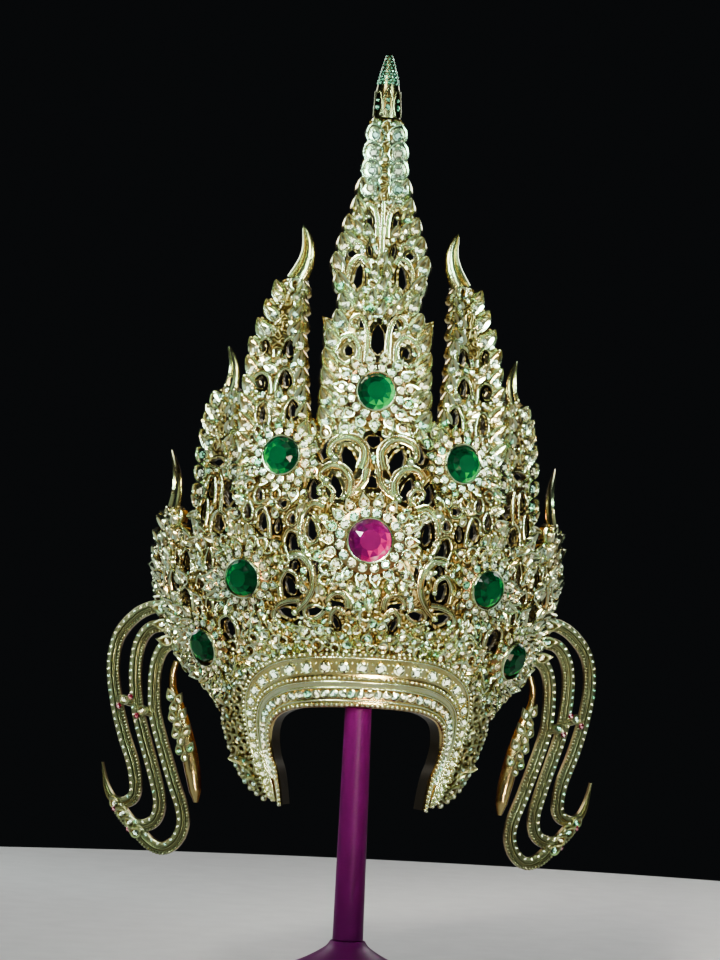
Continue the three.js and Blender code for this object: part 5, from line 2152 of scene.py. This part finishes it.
@dataclass(frozen=True)
class FaceFrame:
    """The arched band over the brow with its rows of stones, and the two lappets beside the face."""

    site: WallSite = WallSite(0.0, reference=100.0)
    arch_edge: Pairs = (
        (0, 0), (20, -0.6), (37.5, -3), (48.7, -9), (53.5, -20), (53, -32), (50, -42),
        (47.5, -61),
    )
    brow_edge: Pairs = ((0, 32), (25, 31), (45, 26.5))
    band_edge: Pairs = (
        *brow_edge, (60, 16), (67.5, 2), (69, -15), (67, -32), (57, -56),
    )
    lappet_edge: Pairs = (
        *brow_edge, (62, 16.5), (76, 4), (87, -8), (88, -20), (84, -36), (74, -50),
        (60, -58),
    )
    upper_points: int = 6
    steps: int = 70
    top: float = 6.7
    flange_back: float = -6.0
    flange_width: float = 0.06
    section: Triples = (
        (0.0, 0.2, 0.2), (0.02, 0.7, 0.2), (0.1, 0.7, 0.3), (0.115, 0.3, 0.3), (0.16, 0.3, 0.3),
        (0.18, -0.2, 0.1), (0.34, -0.2, 0.1), (0.36, 0.3, 0.4), (0.4, 0.1, 0.7), (0.44, 0.1, 0.7),
        (0.48, 0.3, 0.3), (0.52, 0.6, 0.2), (0.57, 0.6, 0.2), (0.6, 0.0, 0.4), (0.66, 0.0, 0.5),
        (0.83, 0.0, 0.5), (0.91, 0.0, 0.4), (0.94, 0.5, 0.2), (1.0, 0.6, 0.2),
    )
    wires: tuple[float, ...] = (0.125, 0.365, 0.475, 0.925)
    wire_radius: float = 0.6
    wire_lift: float = 0.8
    bead_rows: Pairs = ((0.05, 1.3), (0.545, 1.2), (0.985, 1.3))
    bead_pitch: float = 2.1
    bead_lift: float = 1.2
    stone_lift: float = 0.5
    close_row: StoneRow = StoneRow(0.255, 0.07, 2.1, 16.0)
    spaced_row: StoneRow = StoneRow(0.745, 0.092, 3.2, 2.0)
    spaced_tints: Pair = (0.1, 0.6)
    between: tuple[float, ...] = (0.67, 0.82)
    between_bead: float = 1.0
    between_pitch: float = 2.6
    between_lift: float = 0.3
    lappet_from: int = 2
    edge_inset: float = 0.06
    edge_pitch: float = 5.4
    edge_stone: float = 1.4
    edge_lift: float = 0.3
    lappet_look: float = 20.0
    filler: Filler = Filler(
        SEED + 9, (3.4, 2.8, 2.2, 1.6), tries=900, closeness=0.68,
        flame_share=0.12, curl_share=0.7, bead_share=0.86,
    )

    def across(self, share: float) -> tuple[Array, Array]:
        """Points at a share of the way out across the band, left to right, and the band's width at each."""
        inner, outer = arch(self.arch_edge, self.steps), arch(self.band_edge, self.steps)
        return inner + (outer - inner) * share, np.linalg.norm(outer - inner, axis=1)

    def _loft(self, rows: Rows) -> Shape:
        """Makes a bar of one section along the whole band.

        Args:
            rows: Share across the band, distance out and crest value of each point of the section.

        Returns:
            The shape.
        """
        shape = Shape()
        rings = [self.site.line(self.across(share)[0], t) for share, t, _ in rows]
        shape.tube(np.stack(rings, 1), np.array(rows)[:, 2])
        return shape

    def _band(self) -> Shape:
        """Makes the band with its rims and channels."""
        front = [(share, self.top + rise, crest) for share, rise, crest in self.section]
        return self._loft([*front, (1.0, WALL.overlay, 0.0), (0.0, WALL.overlay, 0.2)])

    def _flange(self) -> Shape:
        """Makes the wall that turns in behind the band's inner edge."""
        # Crest 0 all round: with its near-black finish the wall reads as painted shade.
        low, high, width = self.flange_back, WALL.overlay + 0.5, self.flange_width
        return self._loft([(0.0, high, 0.0), (width, high, 0.0), (width, low, 0.0), (0.0, low, 0.0)])

    def _lappet_edges(self, count: int) -> tuple[Array, Array]:
        """Inner and outer edge of the right lappet."""
        first = self.lappet_from
        return smooth_path(self.band_edge[first:], count), smooth_path(self.lappet_edge[first:], count)

    def _lappets(self) -> Shape:
        """Makes the plates of the lappets, between the band and their own outer edges.

        Returns:
            The shape.
        """
        shape, (inner, outer) = Shape(), self._lappet_edges(40)
        section = ((inner, WALL.overlay), (inner, self.top), (outer, self.top - 0.4), (outer, WALL.overlay))
        for sign in (-1, 1):
            rings = [self.site.line(edge * (sign, 1.0), t) for edge, t in section]
            shape.tube(np.stack(rings, 1), np.array([0.0, 0.1, 0.1, 0.1]))
        return shape

    def _lappet_work(self, work: StoneWork) -> None:
        """Sets an edge of stones and a field of volutes and leaves on both lappets.

        Args:
            work: What they are added to.
        """
        inner, outer = self._lappet_edges(120)
        edge = at_pitch(outer + (inner - outer) * self.edge_inset, self.edge_pitch)
        taken: Taken = [(float(s), float(h), self.edge_stone + 0.4) for s, h in edge]
        fence = np.vstack([inner, outer[::-1]])

        def fits(s: float, h: float, size: float) -> bool:
            """Whether a shape of a size can stand on the lappet, clear of the band."""
            return encloses(fence, s, h) and np.hypot(*(inner - (s, h)).T).min() > 0.8 * size

        low, high = fence.min(axis=0), fence.max(axis=0)
        rows = self.filler.pack(low, high, fits, lambda s, h: self.lappet_look, taken)
        for sign in (-1, 1):
            for s, h in edge:
                work.cupped(Seat(self.site, sign * s, h, self.top + self.edge_lift), self.edge_stone)
            there = [row._replace(s=sign * row.s, turn=sign * row.turn, bend=sign * row.bend)
                     for row in rows]
            self.filler.dress(work, self.site, there, self.top)

    def _bead_row(self, work: StoneWork, share: float, radius: float, pitch: float, lift: float) -> None:
        """Sets beads along the band at a share across it, with their pitch in radii."""
        for s, h in at_pitch(self.across(share)[0], pitch * radius):
            work.bead(Seat(self.site, s, h, self.top + lift), radius)

    def _stone_row(self, work: StoneWork, row: StoneRow) -> None:
        """Sets a row of stones along the band, from its middle.

        Args:
            work: What the stones are added to.
            row: How they are set.
        """
        path, widths = self.across(row.share)
        run = run_of(path)
        middle, at = run[-1] / 2.0, 0.0
        while at < middle - row.bare:
            # A set, because the first stone stands in the middle and has no other
            for place in {middle - at, middle + at}:
                s, h, width = (float(np.interp(place, run, values)) for values in (*path.T, widths))
                radius = row.radius * width
                work.cupped(Seat(self.site, s, h, self.top + self.stone_lift), radius)
            at += row.pitch * radius

    def build(self, shop: Workshop) -> None:
        """Makes the frame and its stones.

        Args:
            shop: Shared finishes and shapes.
        """
        work, sides = StoneWork(shop), StoneWork(shop, fine=True)
        spaced = StoneWork(shop, *self.spaced_tints, fine=True)
        self._lappet_work(sides)
        for share, radius in self.bead_rows:
            self._bead_row(work, share, radius, self.bead_pitch, self.bead_lift)
        self._stone_row(work, self.close_row)
        self._stone_row(spaced, self.spaced_row)
        for share in self.between:
            self._bead_row(work, share, self.between_bead, self.between_pitch, self.between_lift)
        finish = shop.finish
        paths = [self.site.line(self.across(share)[0], self.top + self.wire_lift) for share in self.wires]
        # The lappets take the darker gilt: painted shade where the light falls off.
        parts = [
            self._band().build("brow_band", finish.band, SHARP_BAND),
            self._lappets().build("lappet_plates", finish.aged, SHARP_BAND),
            self._flange().build("brow_flange", finish.flange, SHARP_BAND),
            shop.nodes.wires("brow_wires", paths, self.wire_radius, finish.band),
        ]
        parts += [*work.gold("brow", finish.band), *sides.gold("lappets", finish.aged)]
        settled(joined("face_band", parts), Slot.GILT, "face_frame")
        work.settle_stones("face_band_stones")
        sides.settle_stones("lappet_stones", shaded=True)
        settled(joined("brow_collets", spaced.gold("spaced", finish.band)), Slot.GILT)
        spaced.settle_stones("brow_row_stones", "brow_stones")


# The ear flares


@dataclass(frozen=True)
class EarFlare:
    """Three S-shaped bands beside the ear, and the flame drop inside them."""

    bands: tuple[Pairs, ...] = (
        (
            (16, 54), (26, 53.5), (37, 47), (46.5, 34), (49, 16), (46, -5), (40.5, -25),
            (33, -46), (31.5, -62), (37.5, -68), (45, -66), (49.5, -58), (52.5, -44),
        ),
        (
            (15, 43), (26.5, 40.5), (33, 31), (35, 16), (33.5, -3), (30, -19),
            (20, -50), (16, -66), (18, -77), (25, -81.5), (33, -80), (41, -71),
        ),
        (
            (12, 33), (19, 27.5), (22.5, 16), (22.5, -3), (20, -18), (8.5, -52),
            (2.5, -68), (1, -79), (4.5, -89), (11.5, -94.5), (20.5, -92), (31, -82),
        ),
    )
    half: float = 3.9
    steps: int = 90
    hook_from: float = 0.8
    hook_taper: float = 0.95
    stone_across: float = 0.62
    stone_pitch: float = 4.4
    stone: float = 0.86
    stone_lift: float = 1.4
    wire_across: float = -0.1
    wire_lift: float = 1.3
    wire_radius: float = 0.45
    rope_across: float = -0.8
    rope_bead: float = 1.05
    rope_pitch: float = 1.9
    rope_lift: float = 1.7
    ties: tuple[tuple[Pair, Pair], ...] = (((45, -4), (33, -7)), ((34, -10), (22, -12)))
    tie_half: float = 2.5
    tie_lift: float = 0.6
    cluster_lift: float = 2.4
    cluster_tilt: float = 14.0
    clusters: tuple[Placed, ...] = (
        Placed(40, -4.5, -90, 3.6), Placed(28.5, -10.5, -90, 3.6), Placed(38, -75, 40, 3.8),
        Placed(43, -69, 30, 3.4), Placed(29, -86, 50, 3.8), Placed(33, -80, 40, 3.4), Placed(20, 53, 80, 4.2),
        Placed(19, 43, 85, 4.0), Placed(15.5, 33, 80, 4.0), Placed(13, 48, 20, 4.4),
    )
    chips: Pairs = ((43, -8.5), (31.5, -14), (36, -2.5), (42.5, -72), (33, -84))
    chip: float = 1.9
    chip_lift: float = 3.6
    flame: Triples = (
        (9.6, 21, 2.0), (11.5, 13, 2.3), (11, 3, 2.6), (8.5, -4, 4.0), (4.5, -16, 4.8), (0.5, -30, 5.4),
        (-3.5, -46, 5.2), (-5.6, -58, 4.0), (-6.5, -65, 1.4),
    )
    flame_steps: int = 40
    flame_lift: float = 0.4
    flame_leaf_lift: float = 3.4
    flame_leaf_tilt: float = -8.0
    flame_leaves: tuple[Placed, ...] = (
        Placed(11.0, -1, 24, 3.2), Placed(6.4, -3, -24, 3.0), Placed(8.8, -8, 0, 3.2),
        Placed(9.4, -14, 20, 3.0), Placed(3.6, -12, -24, 3.0), Placed(6.0, -18, 0, 3.2),
        Placed(6.8, -24, 20, 3.0), Placed(0.4, -22, -24, 3.0), Placed(3.2, -28, 0, 3.2),
        Placed(4.2, -34, 20, 2.8), Placed(-2.4, -32, -24, 2.8), Placed(0.6, -38, 0, 2.8),
    )

    def build(self, shop: Workshop, hand: Hand) -> None:
        """Makes the flare and the flame on one side.

        Args:
            shop: Shared finishes and shapes.
            hand: Side of the crown.
        """
        # The flares take the darker gilt: painted shade where the light falls off.
        site, side, aged = FlareSite(hand), hand.suffix, shop.finish.aged
        shape, work, chips = Shape(), StoneWork(shop), Spots()
        wires = [self._band(shape, work, site, rows, index == 0) for index, rows in enumerate(self.bands)]
        for start, end in self.ties:
            shape.sweep(site, np.linspace(start, end, 8), RIBBED, self.tie_half, self.tie_lift)
        for leaf in self.clusters:
            work.leaf(leaf.seat(site, self.cluster_lift, self.cluster_tilt), leaf.size)
        for chip in self.chips:
            chips.add(Seat(site, *chip, self.chip_lift), self.chip)
        bands = shape.build(f"flare_bands{side}", aged, SHARP_BAND)
        wire = shop.nodes.wires(f"flare_wires{side}", wires, self.wire_radius, aged)
        gold = work.gold(f"flare{side}", aged)
        settled(joined(f"flare{side}", [bands, wire, *gold]), Slot.GILT, f"ear_flare{side}")
        work.settle_stones(f"flare_stones{side}")
        settled(shop.nodes.set_all(f"flare_chips{side}", chips, shop.stone, shop.finish.ruby), Slot.PINK)
        self._flame(shop, site, f"flame{side}")

    def _band(self, shape: Shape, work: StoneWork, site: FlareSite, rows: Pairs, hooked: bool) -> Array:
        """Adds one band with its row of stones and its rope edge.

        Args:
            shape: The bands' shape.
            work: What the stones and beads are added to.
            site: The flare's layout.
            rows: The band's centre line.
            hooked: Whether it runs out to a bare point.

        Returns:
            The line of the wire in its channel.
        """
        path, u = smooth_path(rows, self.steps), np.linspace(0.0, 1.0, self.steps)
        bare_from = self.hook_from if hooked else 1.0
        taper = np.clip((u - bare_from) / (1.0 - bare_from), 0.0, 1.0) if hooked else 0.0 * u
        half = self.half * (1.0 - self.hook_taper * taper)
        shape.sweep(site, path, FLARE_BAND, half, 0.0)
        heading = np.gradient(path, axis=0)
        heading /= np.linalg.norm(heading, axis=1, keepdims=True)
        left = np.stack([-heading[:, 1], heading[:, 0]], 1)
        stones, wire, rope = ((path + left * (across * half)[:, None])[:int(self.steps * bare_from)]
                              for across in (self.stone_across, self.wire_across, self.rope_across))
        for s, h in at_pitch(stones, self.stone_pitch)[1:]:
            work.cupped(Seat(site, s, h, self.stone_lift), self.stone)
        for s, h in at_pitch(rope, self.rope_pitch * self.rope_bead):
            work.bead(Seat(site, s, h, self.rope_lift), self.rope_bead)
        return site.line(wire, self.wire_lift)

    def _flame(self, shop: Workshop, site: FlareSite, label: str) -> None:
        """Makes the flame drop with its cluster of leaves.

        Args:
            shop: Shared finishes and shapes.
            site: The flare's layout.
            label: Name of the drop with its side.
        """
        knots = np.array(self.flame)
        run = run_of(knots[:, :2])
        half = np.interp(np.linspace(0.0, run[-1], self.flame_steps), run, knots[:, 2])
        shape, work = Shape(), StoneWork(shop)
        shape.sweep(site, smooth_path(knots, self.flame_steps), BLADE, half, self.flame_lift)
        for leaf in self.flame_leaves:
            work.leaf(leaf.seat(site, self.flame_leaf_lift, self.flame_leaf_tilt), leaf.size)
        body = shape.build(f"{label}_body", shop.finish.drop, SHARP_BAND)
        settled(joined(label, [body, *work.gold(label, shop.finish.aged)]), Slot.GILT, f"ear_{label}")
        work.settle_stones(f"flame_stones_{label}")


# The stand


@dataclass(frozen=True)
class Stand:
    """The plain post stand: a domed base and a tapered post."""

    base_radius: float = 104.0
    base_top: float = 47.0
    post_foot: float = 9.2
    post_head: float = 8.0
    post_round: float = 0.6
    gap: float = 0.3
    sides: int = 72
    dome: Pairs = ((1.0, 0.02), (1.0, 0.12), (0.84, 0.33), (0.56, 0.5), (0.29, 0.72), (0.14, 0.9), (0.1, 1.0))

    def build(self, shop: Workshop) -> None:
        """Makes the base and the post.

        Args:
            shop: Shared finishes and shapes.
        """
        curve = smooth_path([(out * self.base_radius, up * self.base_top) for out, up in self.dome], 60)
        foot, head, edge = self.base_top + self.gap, WALL.brow_height - self.gap, self.post_round
        post = (
            (self.post_foot - edge, foot), (self.post_foot, foot + edge), (self.post_head, head - edge),
            (self.post_head - edge, head),
        )
        base = [(self.base_radius - 1.0, 0.0), *curve.tolist()]
        for name, rows, node in (("base_dome", base, "stand_base"), ("post", post, "stand_post")):
            shape = Shape()
            shape.turned(UPRIGHT, ORIGIN, [(*row, 0.0) for row in rows], self.sides)
            settled(shape.build(name, shop.finish.plastic), Slot.STAND, node)


# The studio


@dataclass(frozen=True)
class Softbox:
    """A square soft light: its place, size, power, colour, beam in degrees and the height that it aims at."""

    place: Triple
    size: float
    power: float
    colour: Colour = (1.0, 1.0, 1.0)
    beam: float = 180.0
    aim: float = 0.39

    def build(self, name: str) -> None:
        """Makes the light.

        Args:
            name: Name of the light.
        """
        lamp = bpy.data.lights.new(name, "AREA")
        lamp.size, lamp.energy, lamp.color = self.size, self.power, self.colour
        lamp.spread = math.radians(self.beam)
        holder = bpy.data.objects.new(name, lamp)
        holder.location = self.place
        towards = Vector((0.0, 0.0, self.aim)) - Vector(self.place)
        holder.rotation_euler = towards.to_track_quat("-Z", "Y").to_euler()
        bpy.context.scene.collection.objects.link(holder)


@dataclass(frozen=True)
class Studio:
    """Pale floor, soft lights and the camera at the photograph's viewing angle."""

    aim: Triple = (0.0, 0.03, 0.37)
    distance: float = 1.8
    azimuth: float = math.radians(-3.34)
    elevation: float = math.radians(-3.81)
    pan: float = math.radians(0.12)
    tilt: float = math.radians(1.50)
    roll: float = math.radians(2.68)
    focal_pixels: float = 2949.0
    frame_height: float = 960.0
    sensor: float = 36.0
    backdrop: Colour = (0.004, 0.0045, 0.005)
    floor_radius: float = 1100.0
    floor_colours: tuple[tuple[float, Colour], ...] = ((0.3, (0.62, 0.62, 0.61)), (0.7, (0.68, 0.68, 0.67)))
    lights: tuple[Softbox, ...] = (
        Softbox((-0.55, -1.5, 1.3), 0.35, 0.8, (0.98, 1.0, 0.88), 14.0, 0.33),
        Softbox((0.8, -1.4, 1.1), 0.3, 0.46, (0.70, 1.0, 0.96), 16.0, 0.47),
        Softbox((0.35, -1.8, 0.05), 0.22, 0.5, (1.0, 0.78, 0.54), 12.0, 0.3),
        Softbox((-0.4, -1.8, 0.8), 0.2, 0.46, (0.70, 1.0, 0.96), 15.0, 0.48),
        Softbox((-0.5, -1.7, 1.6), 1.5, 10.0, (0.84, 1.0, 0.94)),
        Softbox((1.3, -1.2, 0.7), 1.0, 1.9, (0.86, 1.0, 0.95)),
        Softbox((-1.4, -0.7, 0.5), 0.8, 1.6, (0.86, 1.0, 0.95)),
        Softbox((-0.8, 0.9, 0.9), 0.6, 10.0),
        Softbox((0.8, 0.9, 0.9), 0.6, 10.0),
    )

    def build(self) -> None:
        """Makes the floor, lights, backdrop and camera."""
        self._floor()
        for index, light in enumerate(self.lights):
            light.build(f"softbox_{index}")
        world = bpy.data.worlds.new("studio")
        world.use_nodes = True
        world.node_tree.nodes["Background"].inputs["Color"].default_value = (*self.backdrop, 1.0)
        bpy.context.scene.world = world
        self._camera()

    def _floor(self) -> None:
        """Makes the pale floor, a thin round board under the stand."""
        shape, edge = Shape(), self.floor_radius
        shape.turned(UPRIGHT, ORIGIN, ((edge, -20.0, 0.0), (edge, -0.5, 0.0), (edge - 10.0, -0.05, 0.0)), 128)
        paint = Paint("pale_floor")
        paint.set(Base_Color=paint.ramp(paint.noise(40.0), self.floor_colours), Roughness=0.6)
        shape.build("floor", paint.material)

    @staticmethod
    def _away(azimuth: float, elevation: float) -> Vector:
        """Direction from the object towards the camera."""
        level = math.cos(elevation)
        return Vector((math.sin(azimuth) * level, -math.cos(azimuth) * level, math.sin(elevation)))

    def _camera(self) -> None:
        """Makes the camera."""
        lens = bpy.data.cameras.new("camera")
        lens.sensor_fit = "AUTO"
        lens.sensor_width = self.sensor
        lens.lens = self.focal_pixels / self.frame_height * self.sensor
        camera = bpy.data.objects.new("camera", lens)
        bpy.context.scene.collection.objects.link(camera)
        camera.location = Vector(self.aim) + self._away(self.azimuth, self.elevation) * self.distance
        look = self._away(self.azimuth + self.pan, self.elevation + self.tilt)
        level = (-look).to_track_quat("-Z", "Y").to_matrix()
        camera.rotation_euler = (level @ Matrix.Rotation(self.roll, 3, "Z")).to_euler()
        bpy.context.scene.camera = camera


def main() -> None:
    """Builds every sub-assembly in order."""
    logging.basicConfig(level=logging.INFO, format="%(name)s %(message)s")
    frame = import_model()
    shop = Workshop()
    Studio().build()
    Stand().build(shop)
    for part in (*PETALS, *ROSETTES):
        for hand in Hand.at(part.angle):
            part.build(shop, hand)
    FaceFrame().build(shop)
    for hand in (Hand.LEFT, Hand.RIGHT):
        EarFlare().build(shop, hand)
    shop.clear()
    for name, node in frame["nodes"].items():
        finish = shop.finish.plastic if name.startswith("stand") else shop.finish.plate
        node.data.materials.clear()
        node.data.materials.append(finish)


if __name__ == "__main__":
    main()
